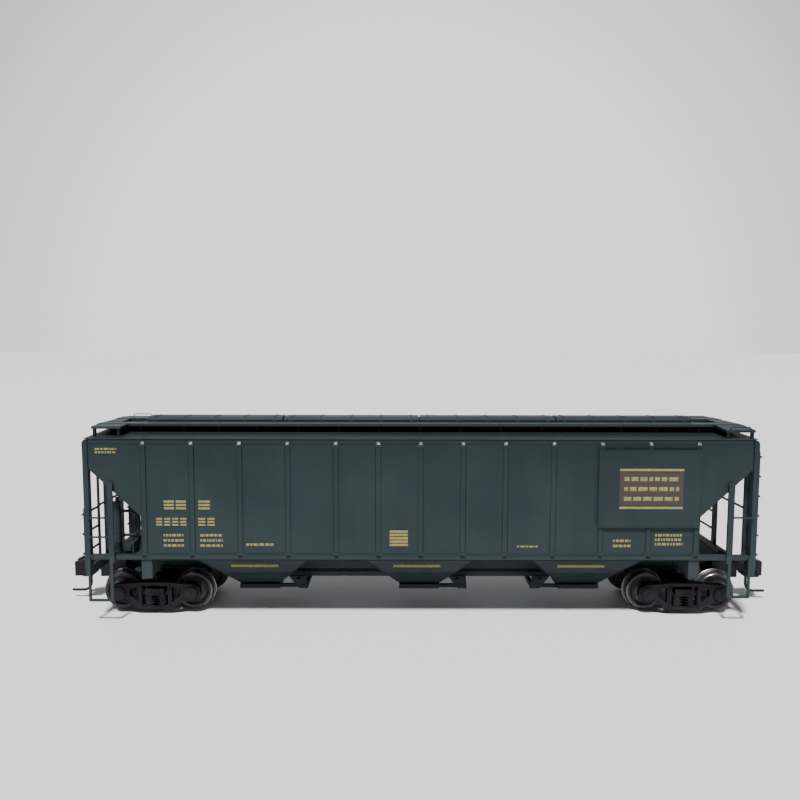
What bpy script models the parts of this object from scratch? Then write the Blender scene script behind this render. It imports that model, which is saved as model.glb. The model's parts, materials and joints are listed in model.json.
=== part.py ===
"""HO scale covered hopper car: a model railway wagon built from separate pieces.

Lengths in this file are millimetres of the model. X runs along the car, Y across it and Z up.
Heights are measured from the rail head; the car stands on its wheel flanges, so RAIL_HEAD lifts
everything until the lowest flange touches Z = 0. The B (brake) end of the car is at -X.
"""
import math

import bmesh
import bpy
from mathutils import Matrix, Vector

MM = 0.001
RAIL_HEAD = 0.64            # flange depth
GAP = 0.06                  # space left between two pieces that touch

# Body
BODY_END = 91.2             # outer face of the corner posts
SIDE_FACE = 18.2            # outer face of the side sheet
SHEET = 0.8                 # sheet thickness
EAVE = 50.0                 # top of the side sheet
SILL_TOP = 18.2
SILL_BOTTOM = 16.9
CORNER_POST = 1.4           # corner post's size along the car
CORNER_POST_WIDE = 1.8      # and across it
END_SHEET_BOTTOM = 42.4
DOOR_EDGE = 76.0            # where the side sheet stops below the slope
DOOR_EDGE_TOP = 28.8
POST_WIDTH = 1.3
POST_DEPTH = 0.3
POST_PITCH_MIDDLE = 11.45
POST_PITCH_OUTER = 13.0
POSTS_MIDDLE = 2            # posts at the middle pitch, each way from the car's centre
POSTS_OUTER = 4
PROUD = 0.3                 # how far a joined shape is sunk into the one that carries it

# Ends
END_SILL_LOW = 12.4
END_SILL_HIGH = 14.7
END_SHEET = 1.0
END_RAIL_LOW = 48.4         # underside of the rounded rail along the top of the end
END_RAIL_ROUND = 1.1
END_POSTS = ((-5.9, -3.9), (4.6, 6.0))
LADDER_POST = (-13.8, -12.8)
SLOPE_THICK = 1.2
SLOPE_DROP = 6.6            # from the eave down to the slope sheet's upper edge

# Hoppers
HOPPER_PITCH = 46.0
OUTLET_Z = 6.4
OUTLET_HALF = (5.4, 6.8)
HOPPER_TOP = 16.7
RIDGE_Z = 23.4
HOPPER_WALL = 0.8

# Outlet gates
GATE_HALF = (5.8, 7.6)
GATE_DEEP = 1.3
GATE_RAIL = 0.9             # width of one gate rail
GATE_RAIL_Y = (-6.9, 6.0)
GATE_RAIL_REACH = 13.6
GATE_SHAFT = (11.0, 7.8)    # place beside the outlet, height
GATE_SHAFT_R = 0.4
GATE_WING = ((8.3, 8.6), (13.4, 8.6), (13.7, 5.0), (11.2, 5.0))

# Roof
ROOF_EAVE = 50.25
ROOF_CROWN = 50.8
ROOF_OVERHANG = 0.3
ROOF_THICK = 0.4
TROUGH_HALF = 3.9
TROUGH_TOP = 53.0
TROUGH_END = 80.0
SADDLE = (89.8, 52.3)       # low rise that carries the trough on to the roof's end: end, top
HATCH_TOP = 54.4
HATCH_LENGTH = 39.3
HATCH_HALF = 3.5            # half width at the foot
HATCH_TOP_HALF = 2.8
HATCH_LIP = 0.55            # height of the cover's upright edge
BATTENS = 5
BATTEN_HALF = 0.35
BATTEN_RISE = 0.08

# Running boards
BOARD_TOP = 53.07
BOARD_THICK = 0.65
BOARD_INNER = 4.2
BOARD_OUTER = 9.2
BRACKET_OUTER = 8.0          # brackets stand back from the board's edge
BOARD_END = 90.9
BRACKETS = (11.5, 23.0, 34.5, 46.0, 57.0, 67.0, 79.0)
BRACKET_HALF = 0.4
LADDER_PLATFORM = ((82.8, 90.8), 16.6, 0.65)    # places along the car, outer edge, drop at that edge
BRAKE_PLATFORM = ((-90.0, -82.0), 15.0, 0.1)
STRUT = 0.7

# Underframe
SILL_LOW = 9.7
CENTRE_SILL = (7.0, 12.0)
SILL_HALF = 2.3
WALL_SHIFT = 0.75           # room between a sill's slanted end and the hopper wall
DRAFT_SILL = (12.1, 13.3)
DRAFT_STEP = 85.7           # where the draft sill rises over the coupler box
DRAFT_END = 89.5
BOLSTER_HALF = 1.45
BOLSTER_Z = (12.7, 16.6)
BOLSTER_REACH = 17.3
PAD_LOW = 11.6
PAD_Y = 16.3
PAD_WIDE = 2.0
WEB_LOW = 13.1
WEB_HIGH = 24.0
WEB_END = 89.1
WEB_PLACES = (-2.2, 1.4)
WEB_THICK = 0.8
CENTRE_PLATE_R = 3.2
CENTRE_PLATE_LOW = 9.35
BALLAST = ((-40.0, 40.0), (-14.0, 14.0), 2.4)

# Ladders, grab irons, steps and sign
LADDER_LOW = 14.0
LADDER_HIGH = 46.8
LADDER_RUNGS = 6
RUNG_FIRST = 18.4
RUNG_PITCH = 5.4
RUNG_HALF = 0.24
FLANGE = 0.25               # ladder flange against the end posts
RUNG_OUT = (0.2, 0.75)      # how far the rungs stand off the end
HANDRAIL_Z = 29.5
GRABS = 3
GRAB_POST = (8.1, 8.9)
GRAB_POST_HIGH = 41.5
STILE_X = (83.05, 84.45)
STILE_FOOT = (83.5, 84.35)
STILE_STEP = 16.2           # below this the stile is as narrow as its foot
STILE_TOP = 38.4
STILE_DEEP = 0.55
STEP_BAR = 0.65
STEP_TOP = 17.6
SIGN_MARGIN = (0.85, 0.65)
SIGN_Z = (26.2, 47.3)
SIGN_THICK = 0.35

# Brake gear, at the B end
SHELF_TOP = 17.6
SHELF_X = (-86.5, -77.0)
SHELF_HALF = 16.6
SHELF_THICK = 0.7
SHELF_SLOTS = ((-85.6, -76.0), (-2.3, 1.3), 1.0)
SHELF_LEGS = ((-86.0, -84.8), (-1.1, 0.2), 1.0)
VALVE = ((-82.4, -79.2), (-15.0, -11.0), 3.1)
CYLINDER = (-84.55, -12.6)
CYLINDER_R = 1.05
CYLINDER_Z = (14.9, 31.7)
CYLINDER_FLANGE_R = 1.75
PIPE_Y = -12.8
PIPE_R = 0.42
PIPE_ROUTE = ((-83.35, 29.0), (-80.6, 29.0), (-79.2, 28.3), (-78.5, 26.9), (-78.4, 25.2),
              (-78.5, 23.9), (-79.1, 22.8), (-80.2, 22.2), (-83.35, 22.2))
TANK = (-80.2, 9.2)
TANK_R = 2.5
TANK_LONG = 12.6
BRAKE_WHEEL_PLACE = (4.9, 36.0)
BRAKE_WHEEL_R = 3.3
BRAKE_RIM = 0.55

# Running gear
TRUCK_X = 74.6
AXLE_OFFSET = 10.2
AXLE_Z = 5.25
TREAD_R = 5.25
FRAME_INNER = 11.0
FRAME_OUTER = 12.8
SWIVEL_Z = 9.3
AXLE_R = 0.5
AXLE_END = 12.1             # half the axle's length
JOURNAL_R = 1.9
JOURNAL_FACE = 13.4
RUNNING_FIT = 0.09          # radial room round a pin or an axle end
FRAME_EDGE = ((4.3, 0.8), (8.3, 3.0), (12.2, 3.3), (12.9, 5.25), (12.3, 7.2), (10.6, 8.1), (4.2, 8.7))
FRAME_WINDOW = ((4.7, 2.7), (7.2, 4.6), (7.2, 6.6), (4.7, 7.2))
SPRING_WINDOW = (3.6, 1.9, 7.5)     # half width, bottom, top
SPRING_R = 1.05
SPRING_PLACES = (-1.9, 1.9)
BOWL_R = 3.4
SCREW_R = 1.6

# Couplers
COUPLER_Z = 9.2
COUPLER_PIVOT = 90.5
POST_R = 0.8
SHANK_HALF = (1.1, 0.85)
EYE_R = 2.1
HEAD_X = (96.8, 99.6)
HEAD_HALF = (2.5, 2.5)
GUARD_HALF = 2.2
KNUCKLE_PIVOT = (100.5, -1.5)
KNUCKLE_ROUND = 0.75
KNUCKLE_HALF = 2.1          # half the knuckle's height
LUG_TOP = 2.5               # the head's lugs above and below the knuckle
PIN_R = 0.36
TRIP_R = 0.42
TRIP_BEND = ((100.4, 4.1), 2.3)
TRIP_TIP = 103.8
POCKET_X = (85.9, 93.5)
POCKET_HALF = 4.1
POCKET_Z = (7.4, 11.9)
CAVITY_X = (86.9, 95.0)
CAVITY_HALF = 3.4
CAVITY_Z = (7.9, 11.1)


def start_clean():
    for obj in list(bpy.data.objects):
        bpy.data.objects.remove(obj, do_unlink=True)


start_clean()
PARTS = bpy.data.collections.new("model_hopper_car")
CUTTERS = bpy.data.collections.new("cutters")
bpy.context.scene.collection.children.link(PARTS)
bpy.context.scene.collection.children.link(CUTTERS)


# ---------------------------------------------------------------- materials
def material(name, colour, roughness, metallic=0.0):
    mat = bpy.data.materials.new(name)
    mat.use_nodes = True
    shader = mat.node_tree.nodes["Principled BSDF"]
    shader.inputs["Base Color"].default_value = (*colour, 1.0)
    shader.inputs["Roughness"].default_value = roughness
    shader.inputs["Metallic"].default_value = metallic
    return mat


BODY_GREEN = material("body_green", (0.036, 0.055, 0.063), 0.55)
TRUCK_BLACK = material("truck_black", (0.020, 0.019, 0.025), 0.6)
WHEEL_METAL = material("wheel_metal", (0.30, 0.29, 0.27), 0.35, 1.0)
STEEL = material("steel", (0.42, 0.42, 0.42), 0.4, 1.0)


# ---------------------------------------------------------------- shape helpers
def place(point):
    x, y, z = point
    return Vector((x, y, z + RAIL_HEAD)) * MM


def add(name, mesh, location):
    obj = bpy.data.objects.new(name, mesh)
    obj.location = location
    PARTS.objects.link(obj)
    return obj


def block(x, y, z):
    """A box between the given low and high values on each axis."""
    bm = bmesh.new()
    bmesh.ops.create_cube(bm, size=1.0)
    size = Vector((x[1] - x[0], y[1] - y[0], z[1] - z[0])) * MM
    bmesh.ops.scale(bm, vec=size, verts=bm.verts)
    mesh = bpy.data.meshes.new("block")
    bm.to_mesh(mesh)
    bm.free()
    middle = [(a + b) / 2 for a, b in (x, y, z)]
    return add("block", mesh, place(middle))


def rod(centre, axis, radius, length, sides=24):
    """A round bar about its centre, along the given axis letter."""
    bm = bmesh.new()
    bmesh.ops.create_cone(bm, cap_ends=True, segments=sides, radius1=radius * MM,
                          radius2=radius * MM, depth=length * MM)
    turn = {"X": Matrix.Rotation(math.pi / 2, 3, "Y"), "Y": Matrix.Rotation(math.pi / 2, 3, "X"),
            "Z": Matrix.Identity(3)}[axis]
    bmesh.ops.rotate(bm, cent=(0, 0, 0), matrix=turn, verts=bm.verts)
    mesh = bpy.data.meshes.new("rod")
    bm.to_mesh(mesh)
    bm.free()
    return add("rod", mesh, place(centre))


def to_mesh(curve_object):
    """Replace a curve object by a mesh with welded caps."""
    depsgraph = bpy.context.evaluated_depsgraph_get()
    mesh = bpy.data.meshes.new_from_object(curve_object.evaluated_get(depsgraph))
    bm = bmesh.new()
    bm.from_mesh(mesh)
    bmesh.ops.remove_doubles(bm, verts=bm.verts, dist=1e-6)
    bmesh.ops.recalc_face_normals(bm, faces=bm.faces)
    bm.to_mesh(mesh)
    bm.free()
    obj = add("solid", mesh, (0, 0, 0))
    obj.matrix_world = curve_object.matrix_world.copy()
    bpy.data.objects.remove(curve_object, do_unlink=True)
    return obj


PLANES = {"XY": (0, 0, 0), "XZ": (math.pi / 2, 0, 0), "YZ": (math.pi / 2, 0, math.pi / 2)}


def slab(outline, plane, span, holes=()):
    """A flat outline (with holes) in the given plane, thick over span on the third axis."""
    curve = bpy.data.curves.new("outline", "CURVE")
    curve.dimensions = "2D"
    curve.fill_mode = "BOTH"
    curve.extrude = (span[1] - span[0]) / 2 * MM
    lift = 0 if plane == "XY" else RAIL_HEAD
    for ring in (outline, *holes):
        spline = curve.splines.new("POLY")
        spline.points.add(len(ring) - 1)
        for point, (u, v) in zip(spline.points, ring):
            point.co = (u * MM, (v + lift) * MM, 0, 1)
        spline.use_cyclic_u = True
    obj = add("outline", curve, (0, 0, 0))
    obj.rotation_euler = PLANES[plane]
    middle = (span[0] + span[1]) / 2 * MM
    shift = {"XY": (0, 0, middle + RAIL_HEAD * MM), "XZ": (0, middle, 0), "YZ": (middle, 0, 0)}
    obj.location = shift[plane]
    bpy.context.view_layer.update()
    return to_mesh(obj)


def wire(points, radius):
    """A round wire through the given points."""
    curve = bpy.data.curves.new("wire", "CURVE")
    curve.dimensions = "3D"
    curve.bevel_depth = radius * MM
    curve.bevel_resolution = 2
    curve.use_fill_caps = True
    spline = curve.splines.new("POLY")
    spline.points.add(len(points) - 1)
    for point, position in zip(spline.points, points):
        point.co = (*place(position), 1)
    obj = add("wire", curve, (0, 0, 0))
    bpy.context.view_layer.update()
    return to_mesh(obj)


def arc(centre, radius, start, stop, steps):
    """Points of a circular arc in a plane, angles in degrees."""
    points = []
    for i in range(steps + 1):
        angle = math.radians(start + (stop - start) * i / steps)
        points.append((centre[0] + radius * math.cos(angle), centre[1] + radius * math.sin(angle)))
    return points


def turned(profile, steps):
    """A solid of revolution about local Z; profile is (radius, height) from top to bottom."""
    bm = bmesh.new()
    verts = [bm.verts.new((r * MM, 0, h * MM)) for r, h in profile]
    for first, second in zip(verts, verts[1:]):
        bm.edges.new((first, second))
    mesh = bpy.data.meshes.new("turned")
    bm.to_mesh(mesh)
    bm.free()
    obj = add("turned", mesh, (0, 0, 0))
    screw = obj.modifiers.new("turn", "SCREW")
    screw.steps = screw.render_steps = steps
    screw.use_merge_vertices = True
    screw.merge_threshold = 0.000001
    return obj


def hide_cutter(obj):
    PARTS.objects.unlink(obj)
    CUTTERS.objects.link(obj)
    obj.hide_render = True
    obj.display_type = "WIRE"


def joined(objects):
    """Copy several objects' evaluated meshes into one mesh, in world space."""
    bpy.context.view_layer.update()
    depsgraph = bpy.context.evaluated_depsgraph_get()
    bm = bmesh.new()
    for obj in objects:
        mesh = bpy.data.meshes.new_from_object(obj.evaluated_get(depsgraph))
        mesh.transform(obj.matrix_world)
        bm.from_mesh(mesh)
        bpy.data.meshes.remove(mesh)
        bpy.data.objects.remove(obj, do_unlink=True)
    mesh = bpy.data.meshes.new("tool")
    bm.to_mesh(mesh)
    bm.free()
    return add("tool", mesh, (0, 0, 0))


def combine(base, others, operation="UNION"):
    """Join other pieces to a base piece, or cut them from it, with one exact Boolean."""
    tool = joined(others)
    hide_cutter(tool)
    boolean = base.modifiers.new(operation.lower(), "BOOLEAN")
    boolean.operation = operation
    boolean.solver = "EXACT"
    boolean.use_self = len(others) > 1
    boolean.object = tool
    return base


def finish(obj, name, mat, pivot=None):
    """Apply the piece's modifiers, name it, put its origin on its pivot and give it its material."""
    bpy.context.view_layer.update()
    depsgraph = bpy.context.evaluated_depsgraph_get()
    mesh = bpy.data.meshes.new_from_object(obj.evaluated_get(depsgraph))
    mesh.transform(obj.matrix_world)
    bpy.data.objects.remove(obj, do_unlink=True)
    bm = bmesh.new()
    bm.from_mesh(mesh)
    bmesh.ops.remove_doubles(bm, verts=bm.verts, dist=1e-6)
    bmesh.ops.dissolve_limit(bm, angle_limit=math.radians(0.5), verts=bm.verts, edges=bm.edges)
    bmesh.ops.triangulate(bm, faces=bm.faces)
    corners = [v.co for v in bm.verts]
    low = Vector([min(c[i] for c in corners) for i in range(3)])
    high = Vector([max(c[i] for c in corners) for i in range(3)])
    origin = place(pivot) if pivot else (low + high) / 2
    bmesh.ops.translate(bm, vec=-origin, verts=bm.verts)
    bm.to_mesh(mesh)
    bm.free()
    mesh.name = name
    mesh.materials.clear()
    mesh.materials.append(mat)
    return add(name, mesh, origin)


def mirror_pair(points):
    """A half outline given from bottom to top, followed by its mirror image back down."""
    return list(points) + [(-a, b) for a, b in reversed(points)]


def half_turn(obj, name):
    """The same piece at the other end or side of the car: turned 180 degrees about Z."""
    twin = bpy.data.objects.new(name, obj.data.copy())
    twin.location = (-obj.location.x, -obj.location.y, obj.location.z)
    twin.rotation_euler = (0, 0, math.pi)
    PARTS.objects.link(twin)
    return twin


# ---------------------------------------------------------------- body
def post_places():
    middle = [POST_PITCH_MIDDLE * i for i in range(1, POSTS_MIDDLE + 1)]
    outer = [middle[-1] + POST_PITCH_OUTER * i for i in range(1, POSTS_OUTER + 1)]
    places = middle + outer
    return [-x for x in reversed(places)] + [0.0] + places


def side():
    """Side sheet with its posts and side sill; the sheet's ends follow the slope sheets."""
    end = BODY_END - CORNER_POST - GAP
    diagonal_top = END_SHEET_BOTTOM - 0.6
    half = [(DOOR_EDGE, SILL_BOTTOM + 0.5), (DOOR_EDGE, DOOR_EDGE_TOP), (end, diagonal_top), (end, EAVE)]
    sheet = slab(mirror_pair(half), "XZ", (-SIDE_FACE, -SIDE_FACE + SHEET))
    face = -SIDE_FACE
    profile = [(face + PROUD, SILL_TOP - 0.5), (face - POST_DEPTH, SILL_TOP + 0.9),
               (face - POST_DEPTH, EAVE - 1.6), (face + PROUD, EAVE - 0.7)]
    pieces = [slab(profile, "YZ", (x - POST_WIDTH / 2, x + POST_WIDTH / 2)) for x in post_places()]
    pieces.append(block((-end, end), (face - 0.4, face + 1.3), (SILL_BOTTOM, SILL_TOP)))
    return finish(combine(sheet, pieces), "side_near", BODY_GREEN)


def end_cage():
    """End sheet, rounded top rail, corner posts, middle posts, ladder post and sill of one end."""
    inner = BODY_END - CORNER_POST
    sheet_x = (BODY_END - 0.3 - END_SHEET, BODY_END - 0.3)
    sheet = block(sheet_x, (-SIDE_FACE, SIDE_FACE), (END_SHEET_BOTTOM, EAVE - 0.3))
    round_x, round_z = BODY_END - END_RAIL_ROUND, EAVE - GAP - END_RAIL_ROUND
    rail = [(inner, EAVE - GAP), (inner, END_RAIL_LOW), (BODY_END, END_RAIL_LOW)]
    rail += arc((round_x, round_z), END_RAIL_ROUND, 0, 90, 5)
    edge = SIDE_FACE + 0.25
    pieces = [slab(rail, "XZ", (-edge, edge))]
    for y in (-edge, edge - CORNER_POST_WIDE):
        across = (y, y + CORNER_POST_WIDE)
        pieces.append(block((inner, BODY_END), across, (END_SILL_LOW, END_RAIL_LOW + PROUD)))
    for span in (*END_POSTS, LADDER_POST):
        high = END_SHEET_BOTTOM + 3 * PROUD
        pieces.append(block((inner + 0.2, BODY_END - 0.1), span, (END_SILL_LOW + 0.1, high)))
    sill_z = (END_SILL_LOW + 0.05, END_SILL_HIGH)
    pieces.append(block((inner + 0.1, BODY_END - 0.2), (-SIDE_FACE, SIDE_FACE), sill_z))
    return finish(combine(sheet, pieces), "end_cage_a", BODY_GREEN)


def slope_plate():
    """Inclined end floor between the side sheets, from the end hopper up to the end sheet."""
    low = (HOPPER_PITCH + OUTLET_HALF[0] + RIDGE_Z - OUTLET_Z + 0.6, RIDGE_Z + GAP)
    high = (BODY_END - CORNER_POST - GAP, EAVE - SLOPE_DROP)
    outline = [low, high, (high[0], high[1] + SLOPE_THICK), (low[0], low[1] + SLOPE_THICK)]
    half = SIDE_FACE - SHEET - GAP
    return finish(slab(outline, "XZ", (-half, half)), "slope_plate_a", BODY_GREEN)


def roof():
    """Roof sheet, low at the eaves, with the raised hatch trough along the middle."""
    eave_y = SIDE_FACE + ROOF_OVERHANG
    half = [(TROUGH_HALF, ROOF_CROWN - ROOF_THICK), (eave_y, EAVE + GAP), (eave_y, ROOF_EAVE),
            (TROUGH_HALF, ROOF_CROWN)]
    reach = BODY_END - END_RAIL_ROUND / 2
    sheet = slab(mirror_pair(half), "YZ", (-reach, reach))
    foot = ROOF_CROWN - ROOF_THICK + 0.1
    trough = block((-TROUGH_END, TROUGH_END), (-TROUGH_HALF, TROUGH_HALF), (foot, TROUGH_TOP))
    end, top = SADDLE
    saddle = block((-end, end), (-TROUGH_HALF + 0.1, TROUGH_HALF - 0.1), (foot + 0.05, top))
    return finish(combine(sheet, [trough, saddle]), "roof", BODY_GREEN)


def hatch_cover(index):
    """One of the four trough hatch covers."""
    start = (index - 2) * (HATCH_LENGTH + 0.2) + 0.2
    base = TROUGH_TOP + GAP
    half = [(HATCH_HALF, base), (HATCH_HALF, base + HATCH_LIP), (HATCH_TOP_HALF, HATCH_TOP)]
    cover = slab(mirror_pair(half), "YZ", (start, start + HATCH_LENGTH - 0.2))
    battens = []
    across = (-HATCH_TOP_HALF + 0.1, HATCH_TOP_HALF - 0.1)
    height = (HATCH_TOP - 0.5, HATCH_TOP + BATTEN_RISE)
    for k in range(BATTENS):
        x = start + 2.2 + k * (HATCH_LENGTH - 4.8) / (BATTENS - 1)
        battens.append(block((x - BATTEN_HALF, x + BATTEN_HALF), across, height))
    return finish(combine(cover, battens), f"hatch_cover_{index + 1}", BODY_GREEN)


def roof_height(y):
    eave_y = SIDE_FACE + ROOF_OVERHANG
    return ROOF_EAVE + (ROOF_CROWN - ROOF_EAVE) * (eave_y - abs(y)) / (eave_y - TROUGH_HALF)


def foot_on_roof(outer, inner, top, x):
    """Upright bracket plate between the roof and the underside of a board."""
    outline = [(outer, roof_height(outer) + GAP), (inner, roof_height(inner) + GAP),
               (inner, top), (outer, top)]
    return slab(outline, "YZ", (x - BRACKET_HALF, x + BRACKET_HALF))


def running_board():
    """Walkway on brackets, with the crossover and a lateral platform at each end."""
    top, under = BOARD_TOP, BOARD_TOP - BOARD_THICK
    board = block((-BOARD_END, BOARD_END), (-BOARD_OUTER, -BOARD_INNER), (under, top))
    cross_y = (-BOARD_INNER - 0.3, BOARD_INNER - 0.15)
    pieces = [block((BOARD_END - 4.6, BOARD_END - 0.1), cross_y, (under + 0.05, top - 0.05))]
    for x in (0.0, *BRACKETS, *[-place_x for place_x in BRACKETS]):
        pieces.append(foot_on_roof(-BRACKET_OUTER, -BOARD_INNER - PROUD, under + 0.2, x))
    for x, outer, drop in (LADDER_PLATFORM, BRAKE_PLATFORM):
        joint = -BOARD_OUTER + 0.4
        outline = [(joint, top - 0.05), (-outer, top - drop), (-outer, under - drop), (joint, under + 0.05)]
        pieces.append(slab(outline, "YZ", x))
        rim = -outer + PROUD
        for strut_x in (x[0] + STRUT, x[1] - STRUT):
            pieces.append(foot_on_roof(rim, rim + STRUT, under - drop + 0.2, strut_x))
    return finish(combine(board, pieces), "running_board_near", BODY_GREEN)


# ---------------------------------------------------------------- hoppers and underframe
def ring(bm, x, y_half, z):
    corners = [(x[0], -y_half), (x[1], -y_half), (x[1], y_half), (x[0], y_half)]
    verts = [bm.verts.new(place((a, b, z))) for a, b in corners]
    return [bm.edges.new((verts[i], verts[(i + 1) % 4])) for i in range(4)]


def hopper(index):
    """Funnel of one bay: steep sides to the outlet, and inner slopes up to the ridges."""
    x = (index - 1) * HOPPER_PITCH
    spread = HOPPER_TOP - OUTLET_Z
    reach = OUTLET_HALF[0] + RIDGE_Z - OUTLET_Z
    inside = SIDE_FACE - SHEET - GAP - 0.6
    levels = [((x - OUTLET_HALF[0], x + OUTLET_HALF[0]), OUTLET_HALF[1], OUTLET_Z),
              ((x - OUTLET_HALF[0] - spread, x + OUTLET_HALF[0] + spread), inside, HOPPER_TOP),
              ((x - reach, x + reach), inside, RIDGE_Z)]
    bm = bmesh.new()
    edges = [edge for x_range, y_half, z in levels for edge in ring(bm, x_range, y_half, z)]
    bmesh.ops.bridge_loops(bm, edges=edges)
    bmesh.ops.recalc_face_normals(bm, faces=bm.faces)
    mesh = bpy.data.meshes.new("funnel")
    bm.to_mesh(mesh)
    bm.free()
    obj = add("funnel", mesh, (0, 0, 0))
    shell = obj.modifiers.new("wall", "SOLIDIFY")
    shell.thickness = HOPPER_WALL * MM
    shell.offset = -1
    return finish(obj, f"hopper_{index + 1}", BODY_GREEN)


def outlet_gate(index):
    """Outlet frame with its sliding gate rails, which run out to one side of the outlet."""
    x = (index - 1) * HOPPER_PITCH
    side_way = -1 if index == 2 else 1
    top = OUTLET_Z - GAP
    across = (-GATE_HALF[1], GATE_HALF[1])
    frame = block((x - GATE_HALF[0], x + GATE_HALF[0]), across, (top - GATE_DEEP, top))
    reach = sorted((x + side_way * (GATE_HALF[0] - 0.7), x + side_way * GATE_RAIL_REACH))
    pieces = [block(reach, (y, y + GATE_RAIL), (top - 1.2, top - 0.3)) for y in GATE_RAIL_Y]
    end = sorted((x + side_way * (GATE_RAIL_REACH - 0.8), x + side_way * (GATE_RAIL_REACH + 0.1)))
    pieces.append(block(end, (-7.1, 7.1), (top - 1.5, top - 0.1)))
    wing = [(x + side_way * a, z) for a, z in GATE_WING]
    pieces += [slab(wing, "XZ", (y, y + 0.7)) for y in (-7.3, 6.6)]
    shaft_x, shaft_z = GATE_SHAFT
    stubs = [(x + side_way * shaft_x, y, shaft_z) for y in (-6.9, 6.9)]
    pieces += [rod(middle, "Y", GATE_SHAFT_R, 2.2, sides=12) for middle in stubs]
    return finish(combine(frame, pieces), f"outlet_gate_{index + 1}", BODY_GREEN)


def wall_x(centre, direction, z):
    """Where a hopper's outer wall stands at height z."""
    return centre + direction * (OUTLET_HALF[0] + z - OUTLET_Z + WALL_SHIFT)


def centre_sill():
    """Sill between the middle hopper and the A-end hopper."""
    low, high = CENTRE_SILL
    outline = [(wall_x(0, 1, low), low), (wall_x(HOPPER_PITCH, -1, low), low),
               (wall_x(HOPPER_PITCH, -1, high), high), (wall_x(0, 1, high), high)]
    return finish(slab(outline, "XZ", (-SILL_HALF, SILL_HALF)), "centre_sill_a", BODY_GREEN)


def underframe():
    """Draft sill, body bolster with its side pads, slope webs and centre plate of one end."""
    low, high = DRAFT_SILL
    outline = [(wall_x(HOPPER_PITCH, 1, SILL_LOW), SILL_LOW), (DRAFT_STEP, SILL_LOW), (DRAFT_STEP, low),
               (DRAFT_END, low), (DRAFT_END, high), (wall_x(HOPPER_PITCH, 1, high), high)]
    sill = slab(outline, "XZ", (-SILL_HALF, SILL_HALF))
    bolster = (TRUCK_X - BOLSTER_HALF, TRUCK_X + BOLSTER_HALF)
    pieces = [block(bolster, (-BOLSTER_REACH, BOLSTER_REACH), BOLSTER_Z)]
    for y in (-PAD_Y - PAD_WIDE, PAD_Y):
        pieces.append(block(bolster, (y, y + PAD_WIDE), (PAD_LOW, SILL_BOTTOM - GAP)))
    web = [(DOOR_EDGE, WEB_LOW), (WEB_END, WEB_LOW), (DOOR_EDGE, WEB_HIGH)]
    for y in WEB_PLACES:
        pieces.append(slab(web, "XZ", (y, y + WEB_THICK)))
    plate_middle = (CENTRE_PLATE_LOW + SILL_LOW + PROUD) / 2
    plate_thick = SILL_LOW + PROUD - CENTRE_PLATE_LOW
    pieces.append(rod((TRUCK_X, 0, plate_middle), "Z", CENTRE_PLATE_R, plate_thick))
    return finish(combine(sill, pieces), "underframe_a", BODY_GREEN)


def ballast():
    """Steel weight lying inside on the hopper ridges."""
    x, y, thick = BALLAST
    low = RIDGE_Z + 0.65
    return finish(block(x, y, (low, low + thick)), "ballast_weight", STEEL)


# ---------------------------------------------------------------- ladders, steps and signs
def end_ladder():
    """Ladder rungs on two thin flanges against the end's posts, with the long handrail."""
    face = BODY_END + GAP
    stile = block((face, face + FLANGE), LADDER_POST, (LADDER_LOW, LADDER_HIGH))
    outer = -SIDE_FACE + 0.6
    pieces = [block((face, face + FLANGE), (-SIDE_FACE - 0.1, outer), (LADDER_LOW, LADDER_HIGH))]
    out = (face + RUNG_OUT[0], face + RUNG_OUT[1])
    for k in range(LADDER_RUNGS):
        z = RUNG_FIRST + RUNG_PITCH * k
        pieces.append(block(out, (-SIDE_FACE, LADDER_POST[1] - 0.1), (z - RUNG_HALF, z + RUNG_HALF)))
    pieces.append(block(out, (LADDER_POST[0] + 0.1, 7.6), (HANDRAIL_Z - RUNG_HALF, HANDRAIL_Z + RUNG_HALF)))
    return finish(combine(stile, pieces), "end_ladder_a", BODY_GREEN)


def end_grabs():
    """The three low grab irons of the other corner, on their own stile."""
    face = BODY_END + GAP
    stile = block((face, face + 2 * FLANGE), GRAB_POST, (LADDER_LOW, GRAB_POST_HIGH))
    outer = SIDE_FACE - 0.6
    pieces = [block((face, face + FLANGE), (outer, SIDE_FACE + 0.1), (LADDER_LOW, 31.0))]
    out = (face + RUNG_OUT[0], face + RUNG_OUT[1])
    for k in range(GRABS):
        z = RUNG_FIRST + RUNG_PITCH * k
        pieces.append(block(out, (GRAB_POST[0] + 0.1, SIDE_FACE), (z - RUNG_HALF, z + RUNG_HALF)))
    return finish(combine(stile, pieces), "end_grabs_a", BODY_GREEN)


def side_ladder(name, end, grab_heights, step_low, step_outer):
    """Side stile with its grab irons and the stirrup step below the sill; end is +1 or -1."""
    back = -SIDE_FACE - POST_DEPTH - 2 * GAP - 0.1
    depth = (back - STILE_DEEP, back)

    def run(a, b):
        return tuple(sorted((end * a, end * b)))

    stile = block(run(*STILE_X), depth, (STILE_STEP, STILE_TOP))
    inner = STILE_X[0] + 0.6
    pieces = [block(run(*STILE_FOOT), depth, (step_low + PROUD, STILE_STEP + PROUD)),
              block(run(inner, step_outer), depth, (step_low, step_low + STEP_BAR)),
              block(run(step_outer - STEP_BAR, step_outer), depth, (step_low + 0.1, STEP_TOP))]
    for z in grab_heights:
        pieces.append(block(run(inner, 90.2), (back - 0.5, back - 0.05), (z - 0.22, z + 0.22)))
    return finish(combine(stile, pieces), name, BODY_GREEN)


def sign_panel():
    """Flat sign plate carried on three side posts."""
    posts = post_places()[-3:]
    back = -SIDE_FACE - POST_DEPTH - GAP
    x = (posts[0] - SIGN_MARGIN[0], posts[-1] + SIGN_MARGIN[1])
    return finish(block(x, (back - SIGN_THICK, back), SIGN_Z), "sign_panel_near", BODY_GREEN)


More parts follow.
